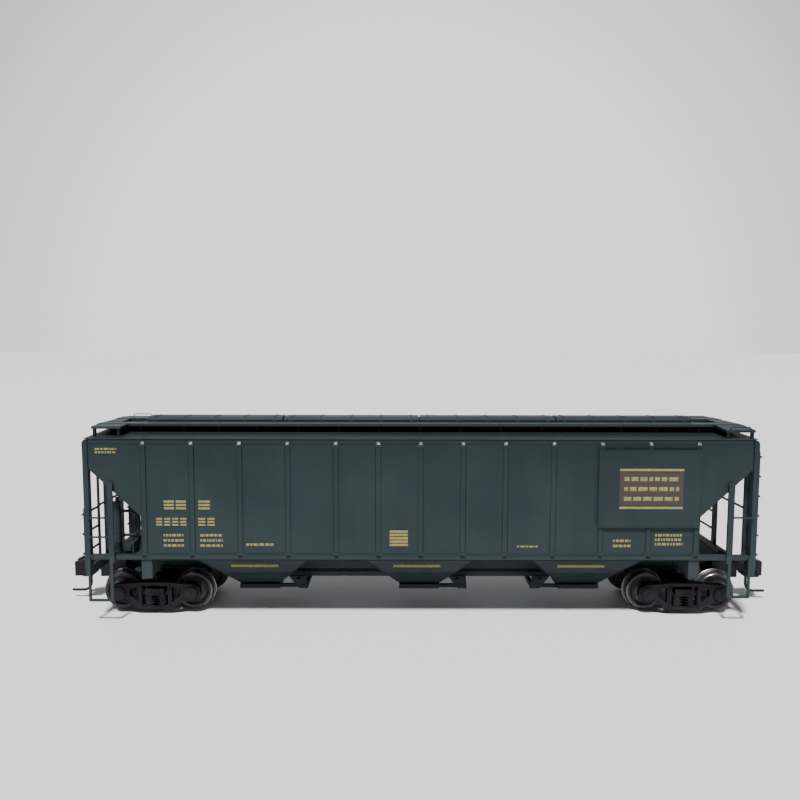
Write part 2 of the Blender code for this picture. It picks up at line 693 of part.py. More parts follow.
# ---------------------------------------------------------------- brake gear (B end)
def brake_shelf():
    """Slotted shelf over the draft sill that carries the valve, cylinder and reservoir."""
    shelf = block(SHELF_X, (-SHELF_HALF, SHELF_HALF), (SHELF_TOP - SHELF_THICK, SHELF_TOP))
    x, places, wide = SHELF_LEGS
    legs = [block(x, (y, y + wide), (DRAFT_SILL[1] + GAP, SHELF_TOP - PROUD)) for y in places]
    x, places, wide = SHELF_SLOTS
    cuts = [block(x, (y, y + wide), (SHELF_TOP - 2, SHELF_TOP + 1)) for y in places]
    cuts.append(rod((*CYLINDER, SHELF_TOP), "Z", CYLINDER_R + RUNNING_FIT, 4.0, sides=28))
    return finish(combine(combine(shelf, legs), cuts, "DIFFERENCE"), "brake_shelf", BODY_GREEN)


def control_valve():
    x, y, high = VALVE
    low = SHELF_TOP + GAP
    body = block(x, y, (low, low + high))
    middle = (sum(x) / 2, sum(y) / 2, low + high)
    pieces = [block((x[0] + 0.6, x[1] - 0.6), (y[0] - 0.5, y[1] + 0.5), (low + 0.7, low + 2.3)),
              rod(middle, "Z", 0.9, 1.0, sides=16)]
    return finish(combine(body, pieces), "control_valve", BODY_GREEN)


def air_reservoir():
    low = SHELF_TOP + GAP
    tank = rod((*TANK, low + TANK_R + 0.6), "Y", TANK_R, TANK_LONG, sides=28)
    x = (TANK[0] - 1, TANK[0] + 1)
    feet = [block(x, (TANK[1] + y, TANK[1] + y + 1.2), (low, low + 2.0)) for y in (-4.6, 3.2)]
    return finish(combine(tank, feet), "air_reservoir", BODY_GREEN)


def brake_cylinder():
    """Tall upright cylinder through a hole in the shelf, resting on it by its flange."""
    low, high = CYLINDER_Z
    barrel = rod((*CYLINDER, (low + high) / 2), "Z", CYLINDER_R, high - low, sides=28)
    pieces = [rod((*CYLINDER, SHELF_TOP + GAP + 0.4), "Z", CYLINDER_FLANGE_R, 0.8, sides=28),
              rod((*CYLINDER, high), "Z", 0.45, 2.4, sides=12)]
    return finish(combine(barrel, pieces), "brake_cylinder", BODY_GREEN)


def brake_pipe():
    """Looped air pipe, both ends against the cylinder."""
    return finish(wire([(x, PIPE_Y, z) for x, z in PIPE_ROUTE], PIPE_R), "brake_pipe", BODY_GREEN)


def brake_wheel():
    """Hand brake wheel on its gear housing, on the thick end post of the B end."""
    face = -BODY_END + 0.1 - GAP
    y, z = BRAKE_WHEEL_PLACE
    hub_x = face - 2.4
    housing = block((face - 1.4, face), (y - 1.9, y + 1.9), (z - 2.2, z + 4.6))
    outer, inner = BRAKE_WHEEL_R, BRAKE_WHEEL_R - BRAKE_RIM
    rim = turned([(outer, 0.25), (outer, -0.25), (inner, -0.25), (inner, 0.25), (outer, 0.25)], 32)
    rim.matrix_world = Matrix.Translation(place((hub_x, y, z))) @ Matrix.Rotation(math.pi / 2, 4, "Y")
    pieces = [rim, rod((hub_x + 0.4, y, z), "X", 0.7, 2.0, sides=16)]
    reach = BRAKE_WHEEL_R - PROUD
    for half_y, half_z in ((reach, 0.25), (0.25, reach)):
        spoke = block((hub_x - 0.15, hub_x + 0.15), (y - half_y, y + half_y), (z - half_z, z + half_z))
        pieces.append(spoke)
    return finish(combine(housing, pieces), "brake_wheel", BODY_GREEN)


# ---------------------------------------------------------------- couplers
def draft_box():
    """Coupler pocket under the draft sill, open at its mouth, with the pivot post inside."""
    box = block(POCKET_X, (-POCKET_HALF, POCKET_HALF), POCKET_Z)
    cavity = block(CAVITY_X, (-CAVITY_HALF, CAVITY_HALF), CAVITY_Z)
    pocket = combine(box, [cavity], "DIFFERENCE")
    post = rod((COUPLER_PIVOT, 0, sum(POCKET_Z) / 2), "Z", POST_R, POCKET_Z[1] - POCKET_Z[0] - 0.5, sides=20)
    return finish(combine(pocket, [post]), "draft_box_a", TRUCK_BLACK)


def coupler():
    """Shank, head and guard arm in one, with the curved trip pin below the head."""
    low, high = COUPLER_Z - SHANK_HALF[1], COUPLER_Z + SHANK_HALF[1]
    shank = block((COUPLER_PIVOT, HEAD_X[0] + 0.6), (-SHANK_HALF[0], SHANK_HALF[0]), (low, high))
    half_y, half_z = HEAD_HALF
    face = HEAD_X[1] - 0.6
    guard = [(face, 1.2), (face, 2.5), (101.5, 3.1), (101.5, 2.4), (99.9, 1.2)]
    pieces = [rod((COUPLER_PIVOT, 0, COUPLER_Z), "Z", EYE_R, high - low),
              block(HEAD_X, (-half_y, half_y), (COUPLER_Z - half_z, COUPLER_Z + half_z)),
              slab(guard, "XY", (COUPLER_Z - GUARD_HALF, COUPLER_Z + GUARD_HALF))]
    middle, radius = TRIP_BEND
    bend = [(x, 0, z) for x, z in arc(middle, radius, 180, 270, 5)]
    drop = [(middle[0] - radius, 0, COUPLER_Z - half_z + 1.0)]
    pieces.append(wire(drop + bend + [(TRIP_TIP, 0, middle[1] - radius)], TRIP_R))
    x, y = KNUCKLE_PIVOT
    lug = [(face, y - 0.8), (x, y - 0.8), (x + 0.7, y - 0.4), (x + 0.7, y + 0.4), (x, y + 0.8),
           (face, y + 0.8)]
    for side_way in (-1, 1):
        span = sorted((COUPLER_Z + side_way * (KNUCKLE_HALF + GAP), COUPLER_Z + side_way * LUG_TOP))
        pieces.append(slab(lug, "XY", span))
    body = combine(shank, pieces)
    bores = [rod((COUPLER_PIVOT, 0, COUPLER_Z), "Z", POST_R + RUNNING_FIT, 4.0, sides=20),
             rod((*KNUCKLE_PIVOT, COUPLER_Z), "Z", PIN_R + GAP, 6.0, sides=16)]
    body = combine(body, bores, "DIFFERENCE")
    return finish(body, "coupler_a", TRUCK_BLACK, (COUPLER_PIVOT, 0, COUPLER_Z))


def knuckle():
    """Coupler knuckle, hinged at the side of the head away from the guard arm."""
    x, y = KNUCKLE_PIVOT
    hook = [(x + 1.3, y - 0.6), (x + 1.6, y + 0.4), (x + 1.5, 0.2), (x + 0.7, 0.2),
            (x + 0.6, y + KNUCKLE_ROUND)]
    outline = arc((x, y), KNUCKLE_ROUND, 180, 270, 4) + hook + arc((x, y), KNUCKLE_ROUND, 90, 180, 4)[:-1]
    body = slab(outline, "XY", (COUPLER_Z - KNUCKLE_HALF, COUPLER_Z + KNUCKLE_HALF))
    bore = rod((x, y, COUPLER_Z), "Z", PIN_R + RUNNING_FIT, 6.0, sides=16)
    return finish(combine(body, [bore], "DIFFERENCE"), "knuckle_a", TRUCK_BLACK, (x, y, COUPLER_Z))


def knuckle_pin():
    """Rivet through the head's lugs and the knuckle, with a round head on top."""
    shank = rod((*KNUCKLE_PIVOT, COUPLER_Z), "Z", PIN_R, 2 * LUG_TOP, sides=16)
    head = rod((*KNUCKLE_PIVOT, COUPLER_Z + LUG_TOP + GAP + 0.12), "Z", PIN_R + 0.2, 0.24, sides=16)
    neck = rod((*KNUCKLE_PIVOT, COUPLER_Z + LUG_TOP), "Z", PIN_R, 0.3, sides=16)
    return finish(combine(shank, [neck, head]), "knuckle_pin_a", STEEL)


# ---------------------------------------------------------------- trucks
def side_frame(name, x, direction):
    """Cast truck side frame with spring and side windows and blind journal holes."""
    outline = [(x + a, z) for a, z in FRAME_EDGE] + [(x - a, z) for a, z in reversed(FRAME_EDGE)]
    half, low, high = SPRING_WINDOW
    spring = [(x - half, low), (x + half, low), (x + half, high), (x - half, high)]
    window = [(x + a, z) for a, z in FRAME_WINDOW]
    holes = [spring, window, [(x - a, z) for a, z in reversed(FRAME_WINDOW)]]
    frame = slab(outline, "XZ", sorted((direction * FRAME_INNER, direction * FRAME_OUTER)), holes)
    bosses = []
    journals = []
    blind = AXLE_END + 0.2
    for sign in (-1, 1):
        journal_x = x + sign * AXLE_OFFSET
        boss_y = direction * (JOURNAL_FACE - 0.8)
        bosses.append(rod((journal_x, boss_y, AXLE_Z), "Y", JOURNAL_R, 1.6, sides=20))
        middle_y = direction * (blind - 1.0)
        journals.append(rod((journal_x, middle_y, AXLE_Z), "Y", AXLE_R + RUNNING_FIT, 2.0, sides=24))
    frame = combine(combine(frame, bosses), journals, "DIFFERENCE")
    return finish(frame, name, TRUCK_BLACK, (x, 0, SWIVEL_Z))


def bolster(name, x):
    """Truck bolster through the spring windows, with the centre bowl on top."""
    reach = JOURNAL_FACE - 0.2
    beam = block((x - 2.6, x + 2.6), (-reach, reach), (4.9, 6.8))
    plank = block((x - 2.9, x + 2.9), (-FRAME_INNER + GAP, FRAME_INNER - GAP), (5.1, 8.0))
    bowl = rod((x, 0, 8.4), "Z", BOWL_R, 1.5)
    springs = []
    for y in (-11.9, 11.9):
        for offset in SPRING_PLACES:
            springs.append(rod((x + offset, y, 3.5), "Z", SPRING_R, 3.0, sides=16))
    body = combine(beam, [plank, bowl] + springs)
    return finish(body, name, TRUCK_BLACK, (x, 0, SWIVEL_Z))


def wheelset(name, x):
    """Two flanged wheels on one axle, turned in one profile."""
    half = [(AXLE_R, AXLE_END), (AXLE_R, 10.5), (1.5, 10.4), (1.7, 9.3), (4.2, 9.1), (4.4, 9.95),
            (5.15, 9.95), (TREAD_R, 8.1), (5.72, 7.85), (TREAD_R + RAIL_HEAD, 7.6), (5.75, 7.25), (4.4, 7.2),
            (4.2, 7.9), (1.7, 7.8), (1.5, 6.9), (0.75, 6.9)]
    profile = [(0.0, AXLE_END)] + half + [(r, -y) for r, y in reversed(half)] + [(0.0, -AXLE_END)]
    spun = turned(profile, 32)
    spun.matrix_world = Matrix.Translation(place((x, 0, AXLE_Z))) @ Matrix.Rotation(-math.pi / 2, 4, "X")
    return finish(spun, name, WHEEL_METAL, (x, 0, AXLE_Z))


def truck_screw(name, x):
    """Screw from below through the truck bolster into the centre plate; its head shows below."""
    return finish(rod((x, 0, 4.2), "Z", SCREW_R, 1.2), name, STEEL)


# ---------------------------------------------------------------- build
half_turn(side(), "side_far")
half_turn(end_cage(), "end_cage_b")
half_turn(slope_plate(), "slope_plate_b")
roof()
for number in range(4):
    hatch_cover(number)
half_turn(running_board(), "running_board_far")
for bay in range(3):
    hopper(bay)
    outlet_gate(bay)
half_turn(centre_sill(), "centre_sill_b")
half_turn(underframe(), "underframe_b")
ballast()
half_turn(end_ladder(), "end_ladder_b")
half_turn(end_grabs(), "end_grabs_b")
half_turn(side_ladder("side_ladder_near_a", 1, (28.9,), 6.6, 89.7), "side_ladder_far_b")
half_turn(side_ladder("side_ladder_near_b", -1, (23.3, 28.6), 5.4, 90.3), "side_ladder_far_a")
half_turn(sign_panel(), "sign_panel_far")
brake_shelf()
control_valve()
air_reservoir()
brake_cylinder()
brake_pipe()
brake_wheel()
half_turn(draft_box(), "draft_box_b")
half_turn(coupler(), "coupler_b")
half_turn(knuckle(), "knuckle_b")
half_turn(knuckle_pin(), "knuckle_pin_b")
for letter, end_sign in (("a", 1), ("b", -1)):
    truck_x = end_sign * TRUCK_X
    bolster(f"truck_{letter}_bolster", truck_x)
    truck_screw(f"truck_{letter}_screw", truck_x)
    side_frame(f"truck_{letter}_frame_near", truck_x, -1)
    side_frame(f"truck_{letter}_frame_far", truck_x, 1)
    wheelset(f"wheelset_{letter}_outer", truck_x + end_sign * AXLE_OFFSET)
    wheelset(f"wheelset_{letter}_inner", truck_x - end_sign * AXLE_OFFSET)
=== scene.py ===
"""Looks of the HO covered hopper car: paint, plain stand-ins for print, hardware, wheels and stage.

Lengths are millimetres unless a name says otherwise. X runs along the car with the brake (B) end
at -X, Y runs across it, and Z is up from the floor that the wheel flanges stand on. Heights written
as a number plus RAIL are measured from the rail head.
"""
import json
import math
import random

import bmesh
import bpy
from mathutils import Matrix, Vector


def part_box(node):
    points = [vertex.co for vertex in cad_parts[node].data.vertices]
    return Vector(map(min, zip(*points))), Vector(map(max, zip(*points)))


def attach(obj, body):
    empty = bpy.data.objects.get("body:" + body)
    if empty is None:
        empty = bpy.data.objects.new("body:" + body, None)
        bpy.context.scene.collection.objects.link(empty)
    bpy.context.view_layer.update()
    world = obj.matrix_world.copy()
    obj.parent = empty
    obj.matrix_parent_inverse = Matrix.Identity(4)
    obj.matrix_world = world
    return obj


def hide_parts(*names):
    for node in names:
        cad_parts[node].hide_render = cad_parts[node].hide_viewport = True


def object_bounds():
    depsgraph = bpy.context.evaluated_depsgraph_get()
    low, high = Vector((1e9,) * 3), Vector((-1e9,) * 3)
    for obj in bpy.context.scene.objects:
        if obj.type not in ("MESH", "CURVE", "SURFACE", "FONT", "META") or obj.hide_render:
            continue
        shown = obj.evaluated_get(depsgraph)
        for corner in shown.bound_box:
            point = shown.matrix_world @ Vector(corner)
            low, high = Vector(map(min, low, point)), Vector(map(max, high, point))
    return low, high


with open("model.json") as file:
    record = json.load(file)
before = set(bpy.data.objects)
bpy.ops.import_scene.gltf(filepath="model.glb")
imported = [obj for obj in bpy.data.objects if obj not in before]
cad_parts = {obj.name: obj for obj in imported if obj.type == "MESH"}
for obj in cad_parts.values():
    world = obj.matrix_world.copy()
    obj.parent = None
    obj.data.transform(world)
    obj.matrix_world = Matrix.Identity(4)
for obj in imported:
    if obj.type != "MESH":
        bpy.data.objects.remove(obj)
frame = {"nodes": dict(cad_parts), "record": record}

MM = 0.001
CAD_LOW, CAD_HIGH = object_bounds()


def cad(node):
    """A CAD node's box in millimetres: ((x, x), (y, y), (z, z))."""
    low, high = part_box(node)
    return tuple((low[i] / MM, high[i] / MM) for i in range(3))


def about(middle, half):
    """The two values that lie half to each side of a middle."""
    return (middle - half, middle + half)


def circle(steps, start=0.0):
    """The cosine and sine of evenly spaced angles round a circle; start is in degrees."""
    angles = [math.radians(start) + 2 * math.pi * k / steps for k in range(steps)]
    return [(math.cos(angle), math.sin(angle)) for angle in angles]


# Places taken from the frame
SIDE_X, SIDE_Y, SIDE_Z = cad("side_near")
SILL_FACE = SIDE_Y[0]
POST_FACE = SILL_FACE + 0.1
SHEET_FACE = SILL_FACE + 0.4
EAVE = SIDE_Z[1]
SILL_LOW = SIDE_Z[0]
SILL_DEPTH = 1.3
SILL_TOP = SILL_LOW + SILL_DEPTH
SIGN_X, SIGN_Y, SIGN_Z = cad("sign_panel_near")
BODY_END = cad("end_cage_a")[0][1]
AXLE_Z = sum(cad("wheelset_a_outer")[2]) / 2
FLANGE_DEPTH = 0.64
RAIL = cad("wheelset_a_outer")[2][0] + FLANGE_DEPTH
TRUCK_X = {letter: sum(cad(f"truck_{letter}_bolster")[0]) / 2 for letter in ("a", "b")}
HOPPER_PITCH = 46.0
HOPPERS = (-HOPPER_PITCH, 0.0, HOPPER_PITCH)
BOARD_TOP = cad("running_board_near")[2][1]
CHUTE_TOP = 11.2 + RAIL
INNER_PITCH, OUTER_PITCH = 11.45, 13.0
INNER_POSTS = [INNER_PITCH * i for i in (0, 1, 2)]
OUTER_POSTS = [INNER_POSTS[-1] + OUTER_PITCH * i for i in (1, 2, 3, 4)]
POSTS = sorted({way * x for way in (-1, 1) for x in INNER_POSTS + OUTER_POSTS})


# ---------------------------------------------------------------- procedural materials
class Shader:
    """A Principled material built from procedural nodes, with positions in millimetres."""

    def __init__(self, name, metallic=0.0, specular=0.5):
        self.material = bpy.data.materials.new(name)
        self.material.use_nodes = True
        self.tree = self.material.node_tree
        self.bsdf = self.tree.nodes["Principled BSDF"]
        self.bsdf.inputs["Metallic"].default_value = metallic
        self.bsdf.inputs["Specular IOR Level"].default_value = specular
        coordinates = self.add("ShaderNodeTexCoord").outputs["Object"]
        scale = self.add("ShaderNodeVectorMath")
        scale.operation = "MULTIPLY"
        scale.inputs[1].default_value = (1 / MM,) * 3
        self.link(coordinates, scale.inputs[0])
        self.place = scale.outputs[0]

    def add(self, kind):
        """A new node of one kind."""
        return self.tree.nodes.new(kind)

    def link(self, output, socket):
        self.tree.links.new(output, socket)

    def feed(self, value, socket):
        """Link a socket's value, or set a constant."""
        if isinstance(value, bpy.types.NodeSocket):
            self.link(value, socket)
        else:
            socket.default_value = value

    def noise(self, scale, detail=3.0, stretch=(1, 1, 1)):
        """Noise between about 0.3 and 0.7, with scale features in each millimetre."""
        mapping = self.add("ShaderNodeMapping")
        mapping.inputs["Scale"].default_value = stretch
        self.link(self.place, mapping.inputs["Vector"])
        node = self.add("ShaderNodeTexNoise")
        node.inputs["Scale"].default_value = scale
        node.inputs["Detail"].default_value = detail
        self.link(mapping.outputs[0], node.inputs["Vector"])
        return node.outputs[0]

    def math(self, operation, a, b=0.0):
        node = self.add("ShaderNodeMath")
        node.operation = operation
        self.feed(a, node.inputs[0])
        self.feed(b, node.inputs[1])
        return node.outputs[0]

    def span(self, value, low, high, to_low=0.0, to_high=1.0):
        """Value mapped from low..high to to_low..to_high, and held at the ends."""
        node = self.add("ShaderNodeMapRange")
        for socket, number in zip(node.inputs[1:5], (low, high, to_low, to_high)):
            socket.default_value = number
        self.link(value, node.inputs[0])
        return node.outputs[0]

    def mix(self, factor, a, b):
        """Colour a at factor 0 and colour b at factor 1."""
        node = self.add("ShaderNodeMix")
        node.data_type = "RGBA"
        self.feed(factor, node.inputs[0])
        self.feed((*a, 1.0) if isinstance(a, tuple) else a, node.inputs[6])
        self.feed((*b, 1.0) if isinstance(b, tuple) else b, node.inputs[7])
        return node.outputs[2]

    def axis(self, letter):
        """One coordinate of the surface point, in millimetres."""
        node = self.add("ShaderNodeSeparateXYZ")
        self.link(self.place, node.inputs[0])
        return node.outputs["XYZ".index(letter)]

    def facing_up(self):
        """1 on faces that look straight up, 0 on walls and below."""
        geometry = self.add("ShaderNodeNewGeometry")
        node = self.add("ShaderNodeSeparateXYZ")
        self.link(geometry.outputs["Normal"], node.inputs[0])
        return self.span(node.outputs[2], 0.2, 0.95)

    def bump(self, height, distance, strength=1.0):
        """Relief from a height between 0 and 1; distance is millimetres."""
        node = self.add("ShaderNodeBump")
        node.inputs["Strength"].default_value = strength
        node.inputs["Distance"].default_value = distance * MM
        self.link(height, node.inputs["Height"])
        self.link(node.outputs[0], self.bsdf.inputs["Normal"])

    def set(self, colour, roughness):
        """Finish the material with its colour and roughness."""
        self.feed(colour, self.bsdf.inputs["Base Color"])
        self.feed(roughness, self.bsdf.inputs["Roughness"])
        return self.material


PAINT = (0.0220, 0.0345, 0.0395)
# PAINT_DUSTY_AND_LIT serves for dust, and also for the painted light low on the sides and along the sill
# top.
PAINT_DUSTY_AND_LIT = (0.0360, 0.0490, 0.0540)
PAINT_DEEP = (0.0165, 0.0270, 0.0315)
# PAINT_SHADE is painted shade: the darker paint laid under the eave, on faces that look up and on the
# hoppers.
PAINT_SHADE = (0.0085, 0.0150, 0.0180)
# PAINT_HIGHLIGHT is a painted highlight, the glint on the posts' head caps.
PAINT_HIGHLIGHT = (0.20, 0.25, 0.26)


def body_paint(name="body_paint", top_shade_share=0.72):
    """Satin dark green-grey paint, lighter low on the sides as painted bounce light from the floor, with a
    painted highlight along the sill top and painted shade darker under the eave.

    top_shade_share is how far faces that look up go towards the painted shade colour.
    """
    s = Shader(name, specular=0.14)
    clouds = s.span(s.noise(0.05, 4.0), 0.35, 0.65)
    streaks = s.span(s.noise(0.40, 3.0, (1, 1, 0.10)), 0.45, 0.70)
    grain = s.noise(7.0, 2.0)
    colour = s.mix(clouds, PAINT_DEEP, PAINT)
    colour = s.mix(s.math("MULTIPLY", streaks, 0.10), colour, PAINT_DUSTY_AND_LIT)
    # Painted light: the side grows lighter towards the bottom, as bounce light from the floor.
    low_side_bounce_light = s.span(s.axis("Z"), SILL_LOW + 1.0, SILL_LOW + 16.0, 0.22, 0.0)
    colour = s.mix(low_side_bounce_light, colour, PAINT_DUSTY_AND_LIT)
    # Painted highlight: a lighter band at the sill top, where it faces up.
    sill_top_highlight = s.span(s.axis("Z"), SILL_TOP, SILL_TOP + 0.2, 0.45, 0.0)
    colour = s.mix(sill_top_highlight, colour, PAINT_DUSTY_AND_LIT)
    # Painted shade: the side darkens towards the eave, under the roof's overhang.
    under_eave_shade = s.span(s.axis("Z"), EAVE - 14.0, EAVE - 1.0, 0.0, 0.42)
    colour = s.mix(under_eave_shade, colour, PAINT_SHADE)
    # Painted shade: faces that look up are darkened by a patchy share of the shade colour.
    blotch = s.span(s.noise(0.6, 5.0), 0.30, 0.70, top_shade_share - 0.10, top_shade_share + 0.10)
    colour = s.mix(s.math("MULTIPLY", s.facing_up(), blotch), colour, PAINT_SHADE)
    roughness = s.span(clouds, 0.0, 1.0, 0.50, 0.60)
    s.bump(grain, 0.018, 0.4)
    return s.set(colour, roughness)


def hopper_paint():
    """The body paint darkened in patches by painted shade, heaviest on the outlet chutes below the sill,
    where the car's shadow falls.
    """
    s = Shader("hopper_paint", specular=0.15)
    # Painted shade: strong below the chute tops, lighter above them.
    under_car_shade = s.span(s.axis("Z"), CHUTE_TOP - 0.5, CHUTE_TOP + 0.5, 0.95, 0.28)
    blotch = s.span(s.noise(0.25, 5.0), 0.35, 0.65, 0.85, 1.0)
    colour = s.mix(s.span(s.noise(0.08, 4.0), 0.35, 0.65), PAINT_DEEP, PAINT)
    colour = s.mix(s.math("MULTIPLY", under_car_shade, blotch), colour, PAINT_SHADE)
    s.bump(s.noise(7.0, 2.0), 0.018, 0.4)
    return s.set(colour, s.span(blotch, 0.85, 1.0, 0.55, 0.65))


def post_cap_highlight():
    """Painted highlight in light grey-green patches over the dusty paint, for small proud corners."""
    s = Shader("post_cap_highlight", specular=0.4)
    glint_patches = s.span(s.noise(2.4, 4.0), 0.38, 0.60)
    s.bump(s.noise(7.0, 2.0), 0.015, 0.4)
    return s.set(s.mix(glint_patches, PAINT_HIGHLIGHT, PAINT_DUSTY_AND_LIT), s.span(glint_patches, 0.0, 1.0, 0.40, 0.55))


def walkway_grid():
    """Body paint with the slots of an expanded-metal walkway on top, painted near-black as the shade seen
    through them, and painted shade underneath.
    """
    s = Shader("walkway_grid", specular=0.20)

    def slots(letter, pitch, share):
        wrapped = s.math("WRAP", s.axis(letter), pitch)
        wrapped.node.inputs[2].default_value = 0.0
        return s.math("LESS_THAN", wrapped, pitch * share)

    hole = s.math("MULTIPLY", slots("X", 0.92, 0.62), slots("Y", 0.64, 0.50))
    hole = s.math("MULTIPLY", hole, s.facing_up())
    grain = s.span(s.noise(1.2, 4.0), 0.35, 0.65)
    top = s.mix(grain, PAINT, PAINT_DUSTY_AND_LIT)
    plain = s.mix(s.facing_up(), PAINT, top)
    # Painted shade: the slots are near-black, for the shade under the board showing through them.
    colour = s.mix(hole, plain, (0.010, 0.014, 0.016))
    # Painted shade: everything below the board's top layer is near-black.
    under = s.span(s.axis("Z"), BOARD_TOP - 0.85, BOARD_TOP - 0.70, 0.9, 0.0)
    colour = s.mix(under, colour, (0.008, 0.013, 0.016))
    s.bump(s.math("SUBTRACT", 1.0, hole), 0.12, 0.6)
    return s.set(colour, s.span(grain, 0.0, 1.0, 0.50, 0.62))


def truck_plastic():
    """Matt near-black moulded plastic with a little dust on top faces."""
    s = Shader("truck_plastic", specular=0.22)
    blotch = s.span(s.noise(0.8, 4.0), 0.35, 0.68)
    colour = s.mix(blotch, (0.0050, 0.0050, 0.0072), (0.0095, 0.0090, 0.0125))
    dust = s.math("MULTIPLY", s.facing_up(), s.span(s.noise(1.6, 3.0), 0.35, 0.7, 0.1, 0.4))
    colour = s.mix(dust, colour, (0.030, 0.028, 0.031))
    s.bump(s.noise(9.0, 3.0), 0.03, 0.5)
    return s.set(colour, s.span(blotch, 0.0, 1.0, 0.46, 0.60))


def radius_from_axle(s):
    """Distance from the axle of a piece that has its origin on it."""
    x, z = s.axis("X"), s.axis("Z")
    return s.math("SQRT", s.math("ADD", s.math("MULTIPLY", x, x), s.math("MULTIPLY", z, z)))


def wheel_metal():
    """Turned metal with fine rings round the axle, dulled by handling; origin on the axle."""
    s = Shader("wheel_metal", metallic=1.0)
    rings = s.math("SINE", s.math("MULTIPLY", radius_from_axle(s), 42.0))
    tarnish = s.span(s.noise(0.9, 4.0), 0.35, 0.68)
    colour = s.mix(tarnish, (0.52, 0.50, 0.49), (0.30, 0.285, 0.28))
    s.bump(rings, 0.012, 0.4)
    return s.set(colour, s.span(tarnish, 0.0, 1.0, 0.26, 0.42))


def wheel_face():
    """Dull dark wheel plate with lighter rings round the axle painted as highlights; origin on the axle."""
    s = Shader("wheel_face", metallic=0.3)
    # Painted highlight: lighter rings at set radii on the dished plate.
    ring_highlight = s.span(s.math("SINE", s.math("MULTIPLY", radius_from_axle(s), 9.0)), 0.3, 1.0, 0.0, 0.22)
    blotch = s.span(s.noise(1.1, 4.0), 0.35, 0.68)
    colour = s.mix(blotch, (0.026, 0.023, 0.028), (0.056, 0.051, 0.057))
    colour = s.mix(ring_highlight, colour, (0.130, 0.122, 0.126))
    s.bump(s.noise(6.0, 2.0), 0.02, 0.5)
    return s.set(colour, s.span(blotch, 0.0, 1.0, 0.38, 0.54))


def plain_steel():
    """Dull steel with fine scratches, for screws, pins and the ballast weight."""
    s = Shader("plain_steel", metallic=1.0)
    scratches = s.span(s.noise(3.0, 3.0, (1, 14, 1)), 0.35, 0.65)
    colour = s.mix(scratches, (0.30, 0.295, 0.285), (0.46, 0.45, 0.44))
    s.bump(scratches, 0.01, 0.4)
    return s.set(colour, s.span(scratches, 0.0, 1.0, 0.30, 0.46))


def printed_ink(name, ink, faded):
    """Thin printed ink, faded in patches."""
    s = Shader(name, specular=0.3)
    wear = s.span(s.noise(2.6, 5.0), 0.42, 0.74)
    colour = s.mix(wear, ink, faded)
    s.bump(s.noise(7.0, 2.0), 0.010, 0.5)
    return s.set(colour, s.span(wear, 0.0, 1.0, 0.45, 0.6))


def shadow_gap():
    """Near-black painted shade for recesses and for the lines under edges, mottled a little."""
    s = Shader("shadow_gap", specular=0.2)
    shade_mottle = s.span(s.noise(1.5, 3.0), 0.35, 0.65)
    s.bump(shade_mottle, 0.02, 0.3)
    return s.set(s.mix(shade_mottle, (0.004, 0.008, 0.010), (0.009, 0.015, 0.018)), 0.8)


PAINT_MAT = body_paint()
# The hatch covers take less of the painted shade on their tops.
HATCH_MAT = body_paint("hatch_paint", 0.40)
HOPPER_MAT = hopper_paint()
HIGHLIGHT_MAT = post_cap_highlight()
GRID_MAT = walkway_grid()
TRUCK_MAT = truck_plastic()
METAL_MAT = wheel_metal()
FACE_MAT = wheel_face()
STEEL_MAT = plain_steel()
YELLOW_MAT = printed_ink("yellow_ink", (0.27, 0.24, 0.085), (0.10, 0.11, 0.06))
BROWN_MAT = printed_ink("brown_ink", (0.050, 0.034, 0.030), (0.040, 0.042, 0.042))
# GAP_MAT is painted shade, for recesses and shadow lines.
GAP_MAT = shadow_gap()


# ---------------------------------------------------------------- CAD nodes keep their shape
NODE_MATERIALS = {"body_green": PAINT_MAT, "truck_black": TRUCK_MAT, "wheel_metal": METAL_MAT,
                  "steel": STEEL_MAT}
SPECIAL_PAINT = {"running_board_near": GRID_MAT, "running_board_far": GRID_MAT, "hatch_cover": HATCH_MAT,
                 "hopper": HOPPER_MAT, "outlet_gate": HOPPER_MAT}
SOFTEN = {"body_green": 0.10, "truck_black": 0.12, "wheel_metal": 0.05, "steel": 0.08}
WELD_GAP = 0.002
SHARP_ANGLE = math.radians(38)


def dress_nodes():
    """Give every CAD node its material, and a small rounding on its edges."""
    for part in frame["record"]["subparts"]:
        obj = frame["nodes"][part["node"]]
        slot = part["material_slot"]
        kind = part["node"].rstrip("_1234")
        material = SPECIAL_PAINT.get(kind, NODE_MATERIALS[slot])
        obj.data.materials.clear()
        obj.data.materials.append(material)
        weld = obj.modifiers.new("weld", "WELD")
        weld.merge_threshold = WELD_GAP * MM
        bevel = obj.modifiers.new("soft_edges", "BEVEL")
        bevel.width = SOFTEN[slot] * MM
        bevel.segments = 2
        bevel.limit_method = "ANGLE"
        bevel.angle_limit = SHARP_ANGLE


dress_nodes()


# ---------------------------------------------------------------- building new pieces
def round_edges(part, edges, offset):
    """Round the given edges of a part's mesh."""
    bmesh.ops.bevel(part, geom=edges, offset=offset, segments=2, profile=0.5, affect="EDGES")


